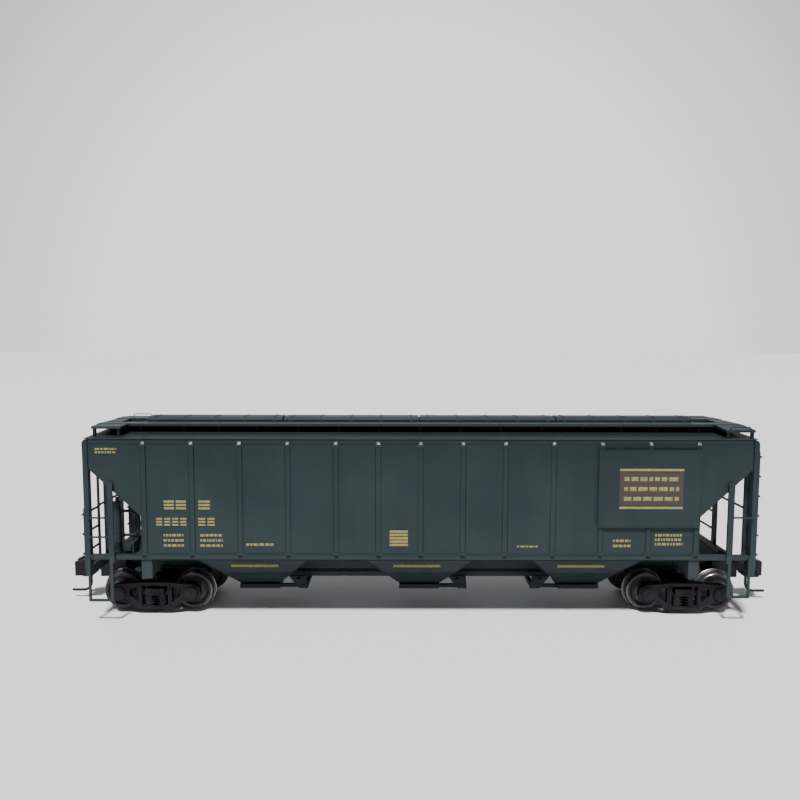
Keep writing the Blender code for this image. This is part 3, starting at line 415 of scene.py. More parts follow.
class Piece:
    """Shapes gathered in one mesh, in millimetres, that becomes one named piece."""

    def __init__(self, name, body, slot, materials):
        self.name, self.body, self.slot = name, body, slot
        self.materials = materials
        self.bm = bmesh.new()
        self.layer = 0

    def _keep(self, part, matrix=None):
        """Move a part's mesh into this piece, with the current material."""
        for face in part.faces:
            face.material_index = self.layer
        if matrix is not None:
            part.transform(matrix)
        mesh = bpy.data.meshes.new("part")
        part.to_mesh(mesh)
        part.free()
        self.bm.from_mesh(mesh)
        bpy.data.meshes.remove(mesh)

    def box(self, x, y, z, bevel):
        """A box between two values on each axis, with rounded edges."""
        part = bmesh.new()
        bmesh.ops.create_cube(part, size=1.0)
        size = (abs(x[1] - x[0]), abs(y[1] - y[0]), abs(z[1] - z[0]))
        bmesh.ops.scale(part, vec=size, verts=part.verts)
        round_edges(part, part.edges[:], min(bevel, 0.3 * min(size)))
        self._keep(part, Matrix.Translation((sum(x) / 2, sum(y) / 2, sum(z) / 2)))

    def disc(self, centre, axis, radius, length, sides):
        """A round bar about its centre, with rounded ends."""
        part = bmesh.new()
        bmesh.ops.create_cone(part, cap_ends=True, segments=sides, radius1=radius, radius2=radius,
                              depth=length)
        rims = [e for e in part.edges if abs(e.verts[0].co.z - e.verts[1].co.z) < 1e-6]
        round_edges(part, rims, min(0.05, 0.3 * min(length, radius)))
        turn = {"X": ("Y", 90), "Y": ("X", -90), "Z": ("Z", 0)}[axis]
        matrix = Matrix.Translation(centre) @ Matrix.Rotation(math.radians(turn[1]), 4, turn[0])
        self._keep(part, matrix)

    def dome(self, centre, direction, radius, height):
        """A round rivet or bolt head standing on a surface; direction is where it points."""
        part = bmesh.new()
        bmesh.ops.create_uvsphere(part, u_segments=10, v_segments=6, radius=1.0)
        bmesh.ops.scale(part, vec=(radius, radius, height), verts=part.verts)
        turn = Vector(direction).to_track_quat("Z", "Y").to_matrix().to_4x4()
        self._keep(part, Matrix.Translation(centre) @ turn)

    def wire(self, points, radius, sides=10, closed=False):
        """A round wire through points, with frames carried along so that it doesn't twist."""
        part = bmesh.new()
        points = [Vector(p) for p in points]
        count = len(points)
        rings = []
        side = None
        for i, point in enumerate(points):
            ahead = points[(i + 1) % count] if closed or i + 1 < count else point
            behind = points[i - 1] if closed or i else point
            along = (ahead - behind).normalized()
            if side is None:
                side = along.orthogonal().normalized()
            side = (side - along * side.dot(along)).normalized()
            other = along.cross(side)
            spots = [point + (side * cosine + other * sine) * radius for cosine, sine in circle(sides)]
            rings.append([part.verts.new(spot) for spot in spots])
        spans = list(zip(rings, rings[1:])) + ([(rings[-1], rings[0])] if closed else [])
        for first, second in spans:
            for k in range(sides):
                part.faces.new((first[k], first[(k + 1) % sides], second[(k + 1) % sides], second[k]))
        if not closed:
            part.faces.new(reversed(rings[0]))
            part.faces.new(rings[-1])
        bmesh.ops.recalc_face_normals(part, faces=part.faces[:])
        self._keep(part)

    def prism(self, outline, plane, low, high):
        """A flat outline in plane XY, XZ or YZ, thick from low to high on the other axis."""
        part = bmesh.new()
        make = {"XY": lambda u, v, w: (u, v, w), "XZ": lambda u, v, w: (u, w, v),
                "YZ": lambda u, v, w: (w, u, v)}[plane]
        base = [part.verts.new(make(u, v, low)) for u, v in outline]
        face = part.faces.new(base)
        grown = bmesh.ops.extrude_face_region(part, geom=[face])
        shift = Vector(make(0, 0, high - low))
        raised = [item for item in grown["geom"] if isinstance(item, bmesh.types.BMVert)]
        bmesh.ops.translate(part, vec=shift, verts=raised)
        bmesh.ops.recalc_face_normals(part, faces=part.faces[:])
        self._keep(part)

    def turned(self, profile, matrix, steps=72):
        """A turned shape about local Z; profile is a run of (radius, height)."""
        part = bmesh.new()
        rings = []
        for radius, height in profile:
            if radius < 1e-6:
                rings.append([part.verts.new((0, 0, height))])
                continue
            spots = [(radius * cosine, radius * sine, height) for cosine, sine in circle(steps)]
            rings.append([part.verts.new(spot) for spot in spots])
        for first, second in zip(rings, rings[1:]):
            for k in range(steps):
                corners = [first[k % len(first)], first[(k + 1) % len(first)],
                           second[(k + 1) % len(second)], second[k % len(second)]]
                part.faces.new(list(dict.fromkeys(corners)))
        bmesh.ops.recalc_face_normals(part, faces=part.faces[:])
        self._keep(part, matrix)

    def half_turn(self):
        """Turn the whole piece 180 degrees about the car's middle."""
        self.bm.transform(Matrix.Rotation(math.pi, 4, "Z"))

    def done(self, origin=(0, 0, 0), smooth_angle=32):
        """Make the object, put its origin in place and let it ride on its body."""
        self.bm.transform(Matrix.Scale(MM, 4) @ Matrix.Translation(-Vector(origin)))
        mesh = bpy.data.meshes.new(self.name)
        self.bm.to_mesh(mesh)
        self.bm.free()
        for material in self.materials:
            mesh.materials.append(material)
        mesh.shade_smooth()
        mesh.set_sharp_from_angle(angle=math.radians(smooth_angle))
        obj = bpy.data.objects.new(self.name, mesh)
        bpy.context.scene.collection.objects.link(obj)
        obj.location = Vector(origin) * MM
        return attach(obj, self.body)


def green(name):
    """A piece on the car's body that is painted all over."""
    return Piece(name, "car", "body_green", [PAINT_MAT])


def both_sides(make, name):
    """Build a piece for the near side, and the same again turned round for the far side."""
    for side in ("near", "far"):
        piece = make(f"{name}_{side}")
        if side == "far":
            piece.half_turn()
        piece.done()


# ---------------------------------------------------------------- sides
def top_chord(name):
    """The lapped strip along the top of the side sheet, with a cap at each post's head painted as a
    highlight.
    """
    piece = Piece(name, "car", "body_green", [PAINT_MAT, HIGHLIGHT_MAT])
    along = about(0, SIDE_X[1] - 0.2)
    piece.box(along, about(SHEET_FACE, 0.1), (EAVE - 1.3, EAVE - 0.02), 0.05)
    cap_foot, neck_foot = EAVE - 1.42, EAVE - 1.9
    cap = [(POST_FACE - 0.18, cap_foot), (SHEET_FACE, cap_foot), (SHEET_FACE, EAVE - 0.50)]
    neck = [(POST_FACE - 0.10, neck_foot), (SHEET_FACE, neck_foot), (SHEET_FACE, EAVE - 1.34)]
    for x in POSTS:
        # Each post's head cap takes the painted highlight.
        piece.layer = 1
        piece.prism(cap, "YZ", *about(x, 0.42))
        piece.layer = 0
        piece.prism(neck, "YZ", *about(x, 0.72))
    return piece


def side_seams(name):
    """Dark seams beside the posts as painted shadow lines, the posts' gussets, dark marks on the sill as
    painted shadow at each post's foot, and the lines along the sill, the lowest a painted shadow line.
    """
    piece = Piece(name, "car", "body_green", [PAINT_MAT, GAP_MAT])
    low = SILL_TOP - 0.02
    gusset = [(POST_FACE - 0.05, low), (SHEET_FACE, low), (SHEET_FACE, SILL_TOP + 1.1)]
    for x in POSTS:
        piece.prism(gusset, "YZ", *about(x, 0.85))
        # Painted shadow: a dark line beside each post and a dark mark on the sill below it.
        piece.layer = 1
        away = 0.74 if x >= 0 else -0.74
        piece.box(about(x + away, 0.07), (SHEET_FACE - 0.05, SHEET_FACE + 0.02),
                  (SILL_TOP + 0.5, EAVE - 2.0), 0.01)
        mark_z = (SILL_TOP - 0.62, SILL_TOP + 0.02)
        piece.box(about(x, 0.6), (SILL_FACE - 0.12, SILL_FACE + 0.05), mark_z, 0.02)
        piece.layer = 0
    back = SILL_FACE + 0.4
    along = about(0, SIDE_X[1] - 0.1)
    piece.box(along, (SILL_FACE - 0.10, back), (SILL_TOP - 0.12, SILL_TOP + 0.08), 0.04)
    piece.box(along, (SILL_FACE - 0.16, back), (SILL_LOW + 0.16, SILL_LOW + 0.36), 0.04)
    # Painted shadow: a dark line along the foot of the sill.
    piece.layer = 1
    piece.box(about(0, 73.0), (SILL_FACE - 0.04, back), (SILL_LOW - 0.12, SILL_LOW + 0.14), 0.02)
    return piece


def sign_edges(name):
    """The sign panel's recess above its top edge in painted shade, its turned rim and its corner rivets."""
    piece = Piece(name, "car", "body_green", [PAINT_MAT, GAP_MAT])
    face = SIGN_Y[0]
    recess = (SIGN_Z[1] - 0.4, EAVE - 1.95)
    # Painted shade: the recess between the posts above the panel is near-black.
    piece.layer = 1
    posts = [x for x in POSTS if SIGN_X[0] < x < SIGN_X[1]]
    for left, right in zip(posts, posts[1:]):
        piece.box((left + 0.75, right - 0.75), (SHEET_FACE - 0.16, SHEET_FACE), recess, 0.03)
    piece.box((posts[-1] + 0.7, SIGN_X[1]), (SHEET_FACE - 0.14, SHEET_FACE), recess, 0.03)
    piece.layer = 0
    rim_y = (face - 0.07, face + 0.2)
    for z in SIGN_Z:
        piece.box(SIGN_X, rim_y, about(z, 0.12), 0.04)
    for x in SIGN_X:
        piece.box(about(x, 0.12), rim_y, SIGN_Z, 0.04)
    for x in posts:
        for z in (SIGN_Z[0] + 0.9, SIGN_Z[1] - 0.9):
            piece.dome((x, face, z), (0, -1, 0), 0.20, 0.10)
    return piece


both_sides(top_chord, "top_chord")
both_sides(side_seams, "side_seams")
both_sides(sign_edges, "sign_edges")


# ---------------------------------------------------------------- printed marks: plain bars only
INK = 0.035
HOPPER_FACE = cad("hopper_1")[1][0]
# Where print stands on a side: (x, x), (z, z) above the rail head, and how many blocks, lines or bars
MARK_BLOCKS = (((-69.6, -63.6), (30.6, 33.4), 2), ((-60.3, -57.1), (30.6, 33.4), 1),
               ((-71.8, -63.6), (26.1, 28.6), 4), ((-60.4, -55.9), (26.1, 28.6), 2))
MARK_LINES = (((-69.9, -64.4), (20.3, 24.6), 3), ((-59.9, -53.8), (20.3, 24.6), 3),
              ((-47.4, -40.0), (20.6, 21.7), 1), ((-87.8, -81.9), (46.0, 47.8), 2),
              ((26.3, 31.9), (20.3, 21.1), 1), ((63.8, 71.4), (20.9, 24.6), 3),
              ((52.4, 57.2), (20.4, 23.2), 2))
MARK_PLATE = ((-8.4, -3.4), (20.6, 25.2), 5)
MARK_SEED, SIGN_SEED = 11, 5


def ink_bar(piece, x, z, face):
    """A thin printed bar on a face that looks towards -Y."""
    piece.box(x, (face - INK, face + 0.05), z, 0.012)


def bar_row(piece, rng, x, z, face, low=0.35, high=1.3, gap=0.28):
    """A row of short dashes of uneven length that stands for a line of small print."""
    at = x[0]
    while at < x[1] - 0.2:
        end = min(at + rng.uniform(low, high), x[1])
        ink_bar(piece, (at, end), z, face)
        at = end + gap


def printed_marks(name):
    """Plain yellow bars in blocks, lines and one plate, where the car's side carries print."""
    piece = Piece(name, "car", "body_green", [YELLOW_MAT])
    rng = random.Random(MARK_SEED)
    for x, z, count in MARK_BLOCKS:
        pitch = (x[1] - x[0] + 0.5) / count
        low, high = z[0] + RAIL, z[1] + RAIL
        third = (high - low) / 3
        for k in range(count):
            left = x[0] + k * pitch
            for bar in range(3):
                bar_z = (low + bar * third + 0.16, low + (bar + 1) * third - 0.16)
                ink_bar(piece, (left, left + pitch - 0.5), bar_z, SHEET_FACE)
    for x, z, lines in MARK_LINES:
        pitch = (z[1] - z[0]) / lines
        for k in range(lines):
            low = z[0] + RAIL + k * pitch
            bar_row(piece, rng, x, (low + 0.12, low + min(0.8, pitch * 0.72)), SHEET_FACE)
    x, z, bars = MARK_PLATE
    pitch = (z[1] - z[0]) / bars
    for k in range(bars):
        low = z[0] + RAIL + k * pitch
        ink_bar(piece, x, (low + 0.1, low + pitch - 0.14), SHEET_FACE)
    return piece


def hopper_bars(name):
    """Yellow band across the top of each hopper's side, none of them quite in the middle."""
    piece = Piece(name, "car", "body_green", [YELLOW_MAT])
    for centre, shift in zip(HOPPERS, (0.5, -0.9, -1.8)):
        ink_bar(piece, about(centre + shift, 6.5), (14.35 + RAIL, 15.05 + RAIL), HOPPER_FACE)
    return piece


def sign_block(name):
    """A plain brown rectangle with two yellow rules and short dashes between them, on the sign panel."""
    piece = Piece(name, "car", "body_green", [YELLOW_MAT, BROWN_MAT])
    rng = random.Random(SIGN_SEED)
    face = SIGN_Y[0]
    middle_x, middle_z = sum(SIGN_X) / 2 + 0.4, sum(SIGN_Z) / 2
    left, right = about(middle_x, 8.6)
    foot, head = about(middle_z, 4.6)
    piece.layer = 1
    ink_bar(piece, (left, right), (foot, head), face)
    piece.layer = 0
    for low in (foot - 0.9, head + 0.25):
        ink_bar(piece, (left, right), (low, low + 0.65), face)
    for row in (-2, 0, 2):
        low = middle_z + row * 1.35 - 0.55
        bar_row(piece, rng, (left + 1.2, right - 1.2), (low, low + 1.1), face - 0.02, 1.0, 2.6, 0.5)
    return piece


both_sides(printed_marks, "printed_marks")
both_sides(hopper_bars, "hopper_bars")
both_sides(sign_block, "sign_block")


# ---------------------------------------------------------------- wheels and trucks
WHEELSETS = ("a_outer", "a_inner", "b_outer", "b_inner")
# Turned profiles of one wheel, (radius, place along the axle from the middle); only the hub's is open
RIM = ((4.96, 9.80), (4.98, 9.97), (5.04, 10.03), (5.11, 9.97), (5.15, 9.80), (5.16, 9.55), (4.96, 9.50),
       (4.96, 9.80))
TREAD = ((4.70, 9.60), (5.15, 9.60), (5.21, 8.15), (5.36, 7.98), (5.66, 7.84), (5.72, 7.78), (5.72, 7.30),
         (5.58, 7.22), (4.95, 7.20), (4.85, 7.26), (4.70, 7.40), (4.70, 9.60))
FLANGE = ((5.68, 7.80), (5.80, 7.72), (5.84, 7.54), (5.78, 7.36), (5.68, 7.30), (5.68, 7.80))
PLATE = ((1.10, 9.90), (1.55, 9.86), (1.70, 9.60), (2.10, 9.28), (2.80, 9.12), (3.60, 9.26), (4.05, 9.60),
         (4.22, 9.88), (4.40, 9.97), (4.98, 9.95), (4.98, 7.30), (4.45, 7.24), (4.28, 7.36), (4.10, 7.84),
         (3.10, 8.06), (2.20, 8.02), (1.70, 7.60), (1.10, 7.40), (1.10, 9.90))
HUB = ((0.0, 11.98), (0.44, 11.98), (0.48, 11.90), (0.48, 10.20), (0.80, 10.12), (1.22, 10.08),
       (1.30, 9.96), (1.30, 7.30), (1.22, 7.16), (0.86, 7.06), (0.72, 6.90), (0.72, 6.40), (0.62, 6.30),
       (0.62, 0.0))


def wheel_pair(name):
    """Wheels with bright rims and flanges, dark treads and dished plates, and their axle."""
    node = f"wheelset_{name}"
    x, y, z = (sum(span) / 2 for span in cad(node))
    piece = Piece(f"wheels_{name}", node, "wheel_metal", [METAL_MAT, FACE_MAT])
    for turn in (-90, 90):
        stand = Matrix.Translation((x, y, z)) @ Matrix.Rotation(math.radians(turn), 4, "X")
        piece.layer = 0
        piece.turned(RIM, stand)
        piece.turned(FLANGE, stand)
        piece.layer = 1
        piece.turned(TREAD, stand)
        piece.turned(PLATE, stand)
        piece.turned(HUB, stand, 40)
        for angle in (0.6, 0.6 + math.pi):
            spot = Matrix.Rotation(angle, 4, "Z") @ Vector((3.15, 0, 9.12))
            piece.dome(stand @ spot, stand.to_3x3() @ Vector((0, 0, 1)), 0.34, 0.12)
    obj = piece.done((x, y, z), 38)
    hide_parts(node)


for wheel_name in WHEELSETS:
    wheel_pair(wheel_name)


JOURNAL_FACE = cad("truck_a_frame_far")[1][1]
PLATE_FACE = JOURNAL_FACE - 0.6
AXLE_SPREAD = 10.2
# One half of a side frame's cast ribs: both ends as (x from the middle, z above the rail head)
FRAME_RIBS = (((4.2, 1.05), (8.2, 3.25)), ((8.2, 3.25), (11.4, 3.5)),
              ((4.0, 8.45), (10.5, 7.85)), ((10.5, 7.85), (12.1, 7.0)))


def spring_coil(piece, x, y, low, high, radius, turns):
    """A coil spring standing between two heights."""
    steps = turns * 14
    points = []
    for i in range(steps + 1):
        angle = 2 * math.pi * turns * i / steps
        height = low + (high - low) * i / steps
        points.append((x + radius * math.cos(angle), y + radius * math.sin(angle), height))
    piece.wire(points, 0.17, 8)


def truck_fittings(letter):
    """Bearing caps, cast ribs, spring coils and their backing plate, wedges and bolts of a truck."""
    x = TRUCK_X[letter]
    piece = Piece(f"truck_fittings_{letter}", f"truck_{letter}", "truck_black", [TRUCK_MAT])
    for way in (-1, 1):
        face = way * PLATE_FACE
        rib_y = about(face, 0.22)
        for end in (-1, 1):
            axle_x = x + end * AXLE_SPREAD
            piece.disc((axle_x, way * (JOURNAL_FACE + 0.02), AXLE_Z), "Y", 1.45, 0.30, 28)
            piece.disc((axle_x, way * (JOURNAL_FACE + 0.14), AXLE_Z), "Y", 0.62, 0.24, 20)
            for cosine, sine in circle(3, 90):
                bolt = (axle_x + 1.02 * cosine, way * (JOURNAL_FACE + 0.17), AXLE_Z + 1.02 * sine)
                piece.dome(bolt, (0, way, 0), 0.22, 0.14)
            for rib in FRAME_RIBS:
                piece.wire([(x + end * rib_x, face, rib_z + RAIL) for rib_x, rib_z in rib], 0.26, 8)
            for bolt_z in (7.45, 1.2):
                piece.dome((x + end * 4.15, face, bolt_z + RAIL), (0, way, 0), 0.24, 0.16)
            piece.box(about(x + end * 3.95, 0.18), rib_y, (1.3 + RAIL, 8.1 + RAIL), 0.08)
            near_x, far_x = x + end * 2.7, x + end * 3.5
            wedge = [(near_x, 5.0 + RAIL), (far_x, 5.0 + RAIL), (far_x, 6.9 + RAIL)]
            piece.prism(wedge, "XZ", *sorted((way * 11.6, way * 12.5)))
        piece.box(about(x, 3.5), (way * 10.5, way * 10.8), (1.5 + RAIL, 5.0 + RAIL), 0.08)
        piece.box(about(x, 4.2), rib_y, (0.95 + RAIL, 1.6 + RAIL), 0.10)
        piece.box(about(x, 4.2), rib_y, (8.05 + RAIL, 8.6 + RAIL), 0.10)
        for offset in (-2.35, -0.8, 0.8, 2.35):
            spring_coil(piece, x + offset, way * 12.0, 1.98 + RAIL, 4.95 + RAIL, 0.62, 4)
        for offset in (-1.3, 1.3):
            piece.dome((x + offset, way * 13.2, 5.9 + RAIL), (0, way, 0), 0.26, 0.16)
        piece.box(about(x, 2.1), (way * 13.0, way * 13.3), (5.2 + RAIL, 5.45 + RAIL), 0.05)
    piece.done((x, 0, AXLE_Z))


for truck_letter in ("a", "b"):
    truck_fittings(truck_letter)


# ---------------------------------------------------------------- roof hardware
TROUGH_HALF = 3.9
TROUGH_END = 79.8
RIDGE = 50.78 + RAIL
ROOF_END = cad("roof")[0][1]
HATCHES = [cad(f"hatch_cover_{i}")[0] for i in (1, 2, 3, 4)]
HATCH_FOOT, HATCH_TOP = cad("hatch_cover_1")[2]
# Brackets along half of a running board, and its end platforms: (x, x), outer y, fall of the edge
BRACKETS = (11.5, 23, 34.5, 46, 57, 67, 79)
PLATFORMS = (((82.9, 90.7), -16.45, 0.64), ((-89.9, -82.1), -14.85, 0.1))


def hatch_fittings():
    """Hinges and latches along both edges of the hatch covers, their bars, and strips of painted shade in
    the joints between covers.
    """
    piece = Piece("hatch_fittings", "car", "body_green", [PAINT_MAT, GAP_MAT])
    lip, top = HATCH_FOOT + 0.62, HATCH_TOP - 0.02
    for low_x, high_x in HATCHES:
        span = high_x - low_x
        for k in range(5):
            x = low_x + 2.2 + k * (span - 4.4) / 4
            for way in (-1, 1):
                foot_z = (HATCH_FOOT - 0.05, HATCH_FOOT + 0.42)
                piece.box(about(x, 0.42), about(way * 3.5, 0.22), foot_z, 0.06)
                piece.disc((x, way * 3.62, HATCH_FOOT + 0.30), "X", 0.16, 0.95, 12)
            piece.wire([(x, -3.55, lip), (x, -2.75, top), (x, 2.75, top), (x, 3.55, lip)], 0.12, 8)
        for way in (-1, 1):
            y, z = way * 3.5, HATCH_FOOT + 0.52
            piece.wire([(low_x + 0.2, y, z), (high_x - 0.2, y, z)], 0.09, 8)
    # Painted shade: near-black strips in the joints between the covers.
    piece.layer = 1
    for (_, left), (right, _) in zip(HATCHES, HATCHES[1:]):
        piece.box((left - 0.12, right + 0.12), about(0, 3.3), (HATCH_FOOT, HATCH_FOOT + 0.6), 0.03)
    piece.done((0, 0, HATCH_FOOT))


def roof_seams():
    """Flat ribs across the roof, the eave angle, the trough's foot strip and rivets at the ends."""
    piece = green("roof_seams")
    for way in (-1, 1):
        for x in POSTS:
            rib = [(x, way * 18.1, EAVE + 0.27), (x, way * (TROUGH_HALF + 0.4), RIDGE)]
            piece.wire(rib, 0.10, 8)
        piece.box(about(0, ROOF_END - 0.3), about(way * 18.36, 0.14), (EAVE + 0.02, EAVE + 0.22), 0.05)
        y, z = way * (TROUGH_HALF + 0.12), RIDGE + 0.14
        piece.wire([(-TROUGH_END, y, z), (TROUGH_END, y, z)], 0.16, 8)
        for end in (-1, 1):
            for k in range(7):
                y = way * (5.2 + 2.0 * k)
                drop = 0.55 * (abs(y) - TROUGH_HALF) / 14.6
                piece.dome((end * (ROOF_END - 0.8), y, RIDGE + 0.01 - drop), (0, 0, 1), 0.16, 0.07)
    piece.done((0, 0, EAVE))


def board_fittings(name):
    """A running board's edge angles, bracket bolts, end platform rims, fascias and grab loop."""
    piece = green(name)
    end = 90.7
    for y in (-9.12, -4.28):
        for drop in (0.02, 0.58):
            piece.wire([(-end, y, BOARD_TOP - drop), (end, y, BOARD_TOP - drop)], 0.09, 8)
    for x in (0, *(way * place for place in BRACKETS for way in (-1, 1))):
        for y in (-7.8, -5.0):
            piece.dome((x, y, BOARD_TOP), (0, 0, 1), 0.20, 0.09)
        piece.box(about(x, 0.7), (-8.0, -7.6), (50.72 + RAIL, 50.9 + RAIL), 0.05)
    for (left, right), y, drop in PLATFORMS:
        low = BOARD_TOP - 0.06
        rim = [(left, -9.0, low), (left, y, low - drop), (right, y, low - drop), (right, -9.0, low)]
        piece.wire(rim, 0.13, 8)
    for x in ((79.9, 90.6), (-90.6, -79.9)):
        piece.box(x, (-4.46, -4.26), (51.5 + RAIL, 52.5 + RAIL), 0.05)
    loop = ((84.2, -0.75), (84.2, -0.2), (84.6, 0.1), (89.4, 0.1), (89.8, -0.2), (89.8, -0.75))
    piece.wire([(x, -15.9, BOARD_TOP + rise) for x, rise in loop], 0.15, 8)
    return piece


hatch_fittings()
roof_seams()
both_sides(board_fittings, "board_fittings")


# ---------------------------------------------------------------- ends
def end_fittings(letter):
    """Rivet rows, post gussets, and the coupler pocket's bolts and lips, of one end."""
    piece = Piece(f"end_fittings_{letter}", "car", "body_green", [PAINT_MAT, TRUCK_MAT])
    sheet = BODY_END - 0.3
    for k in range(18):
        y = -17.0 + 2.0 * k
        piece.dome((sheet, y, 47.9 + RAIL), (1, 0, 0), 0.15, 0.09)
        piece.dome((sheet, y, 43.0 + RAIL), (1, 0, 0), 0.15, 0.09)
        piece.dome((BODY_END - 0.2, y, 13.6 + RAIL), (1, 0, 0), 0.17, 0.10)
    piece.box((sheet - 0.05, sheet + 0.12), (-16.4, 16.4), (45.2 + RAIL, 45.7 + RAIL), 0.05)
    for y in (-4.9, 5.3, -13.3):
        for z, tall in ((42.5, -1.5), (14.7, 1.5)):
            for way in (-1, 1):
                root, tip = y + way * 0.5, y + way * 2.0
                gusset = [(root, z + RAIL), (tip, z + RAIL), (root, z + tall + RAIL)]
                piece.prism(gusset, "YZ", BODY_END - 0.75, BODY_END - 0.55)
    for y in (-17.3, 17.3):
        for k in range(14):
            piece.dome((BODY_END, y, 13.4 + 2.4 * k + RAIL), (1, 0, 0), 0.14, 0.06)
    piece.layer = 1
    (back, front), (left, right), (floor_z, lid_z) = cad("draft_box_a")
    for x in (back + 1.3, front - 1.2):
        for y in (-3.2, 3.2):
            piece.dome((x, y, floor_z), (0, 0, -1), 0.36, 0.2)
    piece.box((back + 0.3, front - 0.1), (left - 0.10, right + 0.10), (floor_z - 0.06, floor_z + 0.3), 0.06)
    piece.box((front - 0.5, front + 0.08), (left - 0.08, right + 0.08), (lid_z - 0.3, lid_z + 0.06), 0.06)
    if letter == "b":
        piece.half_turn()
    piece.done()


COUPLER_Z = 9.2 + RAIL
COUPLER_PIVOT = 90.5


def coupler_fittings(letter):
    """Knuckle spring, head ribs and the shank's collar of one coupler."""
    piece = Piece(f"coupler_fittings_{letter}", f"coupler_{letter}", "truck_black", [TRUCK_MAT, STEEL_MAT])
    piece.box((97.2, 99.1), about(0, 2.62), about(COUPLER_Z, 0.25), 0.08)
    piece.box((97.6, 98.6), about(0, 1.4), about(COUPLER_Z, 2.6), 0.08)
    piece.disc((98.2, 0.0, COUPLER_Z - 2.5), "Z", 0.62, 0.5, 20)
    piece.box((95.6, 96.4), about(0, 1.22), about(COUPLER_Z, 0.97), 0.08)
    for rib_y in (1.5, 2.1):
        piece.box((99.4, 100.6), about(rib_y, 0.1), about(COUPLER_Z, 2.3), 0.05)
    piece.layer = 1
    turns, steps = 5, 12
    coil = []
    for i in range(turns * steps + 1):
        angle = 2 * math.pi * i / steps
        coil.append((99.6 + 0.012 * i, -0.15 + 0.36 * math.cos(angle), COUPLER_Z + 0.36 * math.sin(angle)))
    piece.wire(coil, 0.07, 6)
    if letter == "b":
        piece.half_turn()
    piece.done((COUPLER_PIVOT if letter == "a" else -COUPLER_PIVOT, 0, COUPLER_Z))


for end_letter in ("a", "b"):
    end_fittings(end_letter)
    coupler_fittings(end_letter)


# ---------------------------------------------------------------- hoppers, gates and underframe
def hopper_fittings():
    """Ribs and seams on the hopper sides, the outlet flanges' bolts, and the gates' rods and racks."""
    piece = Piece("hopper_fittings", "car", "body_green", [HOPPER_MAT])
    low, high = 6.4 + RAIL, 16.7 + RAIL
    for centre in HOPPERS:
        for way in (-1, 1):
            for end in (-1, 1):
                foot = (centre + end * 5.4, way * 6.8, low + 0.1)
                head = (centre + end * 15.7, way * 16.7, high - 0.05)
                piece.wire([foot, head], 0.20, 8)
            piece.wire([(x, way * 10.5, 10.3 + RAIL) for x in about(centre, 9.4)], 0.16, 8)
            for k in range(6):
                piece.dome((centre - 4.75 + 1.9 * k, way * 7.25, 6.34 + RAIL), (0, 0, 1), 0.22, 0.16)
            piece.box(about(centre, 5.7), about(way * 7.6, 0.12), (5.9 + RAIL, 6.3 + RAIL), 0.05)
        # The A end's gate points to the middle of the car, and the other two to the A end
        gate = -1 if centre > 1 else 1
        for way in (-1, 1):
            shaft_x, shaft_z = about(centre + gate * 11.0, 0.30), about(7.8 + RAIL, 0.30)
            piece.box(shaft_x, about(way * 7.95, 0.12), shaft_z, 0.04)
            for k in range(9):
                tooth = about(centre + gate * (6.4 + 0.7 * k), 0.16)
                piece.box(tooth, about(way * 6.45, 0.3), (5.95 + RAIL, 6.18 + RAIL), 0.03)
            bearer = ((8.4, 8.5), (13.35, 8.5), (13.62, 5.1), (11.3, 5.1))
            edge = [(centre + gate * x, way * 7.15, z + RAIL) for x, z in bearer]
            piece.wire(edge, 0.16, 8, closed=True)
    piece.done((0, 0, low))


def brake_fittings():
    """Bands, bolts and pipe unions of the brake gear, and the ribs of its shelf."""
    piece = green("brake_fittings")
    cylinder_x, cylinder_y = -84.55, -12.6
    for z in (20.4, 23.4, 26.4, 29.4):
        piece.disc((cylinder_x, cylinder_y, z + RAIL), "Z", 1.16, 0.30, 28)
    for cosine, sine in circle(6):
        bolt = (cylinder_x + 1.42 * cosine, cylinder_y + 1.42 * sine, 18.45 + RAIL)
        piece.dome(bolt, (0, 0, 1), 0.2, 0.16)
    for z in (29.0, 22.2):
        piece.disc((-82.9, -12.8, z + RAIL), "X", 0.60, 0.5, 6)
    tank_x, tank_z = -80.2, 20.76 + RAIL
    for y in (5.0, 9.2, 13.4):
        piece.disc((tank_x, y, tank_z), "Y", 2.58, 0.45, 28)
    for y in (2.9, 15.5):
        piece.disc((tank_x, y, tank_z), "Y", 1.3, 0.25, 24)
    for x in (-81.9, -79.7):
        for z in (18.2, 20.2):
            piece.dome((x, -15.0, z + RAIL), (0, -1, 0), 0.22, 0.14)
    for y in (-16.2, 16.2):
        piece.box((-86.3, -77.2), about(y, 0.15), (16.6 + RAIL, 17.5 + RAIL), 0.05)
    for k in range(5):
        piece.dome((-86.5, -12.0 + 6.0 * k, 17.25 + RAIL), (-1, 0, 0), 0.2, 0.12)
    piece.done((cylinder_x, cylinder_y, 20.0))


def brake_wheel_fittings():
    """Rounded rim, nut and housing bolts of the hand brake wheel."""
    piece = green("brake_wheel_fittings")
    (outer_x, inner_x), wheel_y, _ = cad("brake_wheel")
    y, z = sum(wheel_y) / 2, 36.0 + RAIL
    hub = outer_x + 0.65
    rim = [(hub, y + 3.03 * cosine, z + 3.03 * sine) for cosine, sine in circle(48)]
    piece.wire(rim, 0.32, 10, closed=True)
    piece.disc((outer_x + 0.30, y, z), "X", 0.42, 0.5, 6)
    for offset_y in (-1.4, 1.4):
        for offset_z in (-1.7, 4.1):
            piece.dome((inner_x - 1.4, y + offset_y, z + offset_z), (-1, 0, 0), 0.22, 0.14)
    piece.done((hub, y, z))


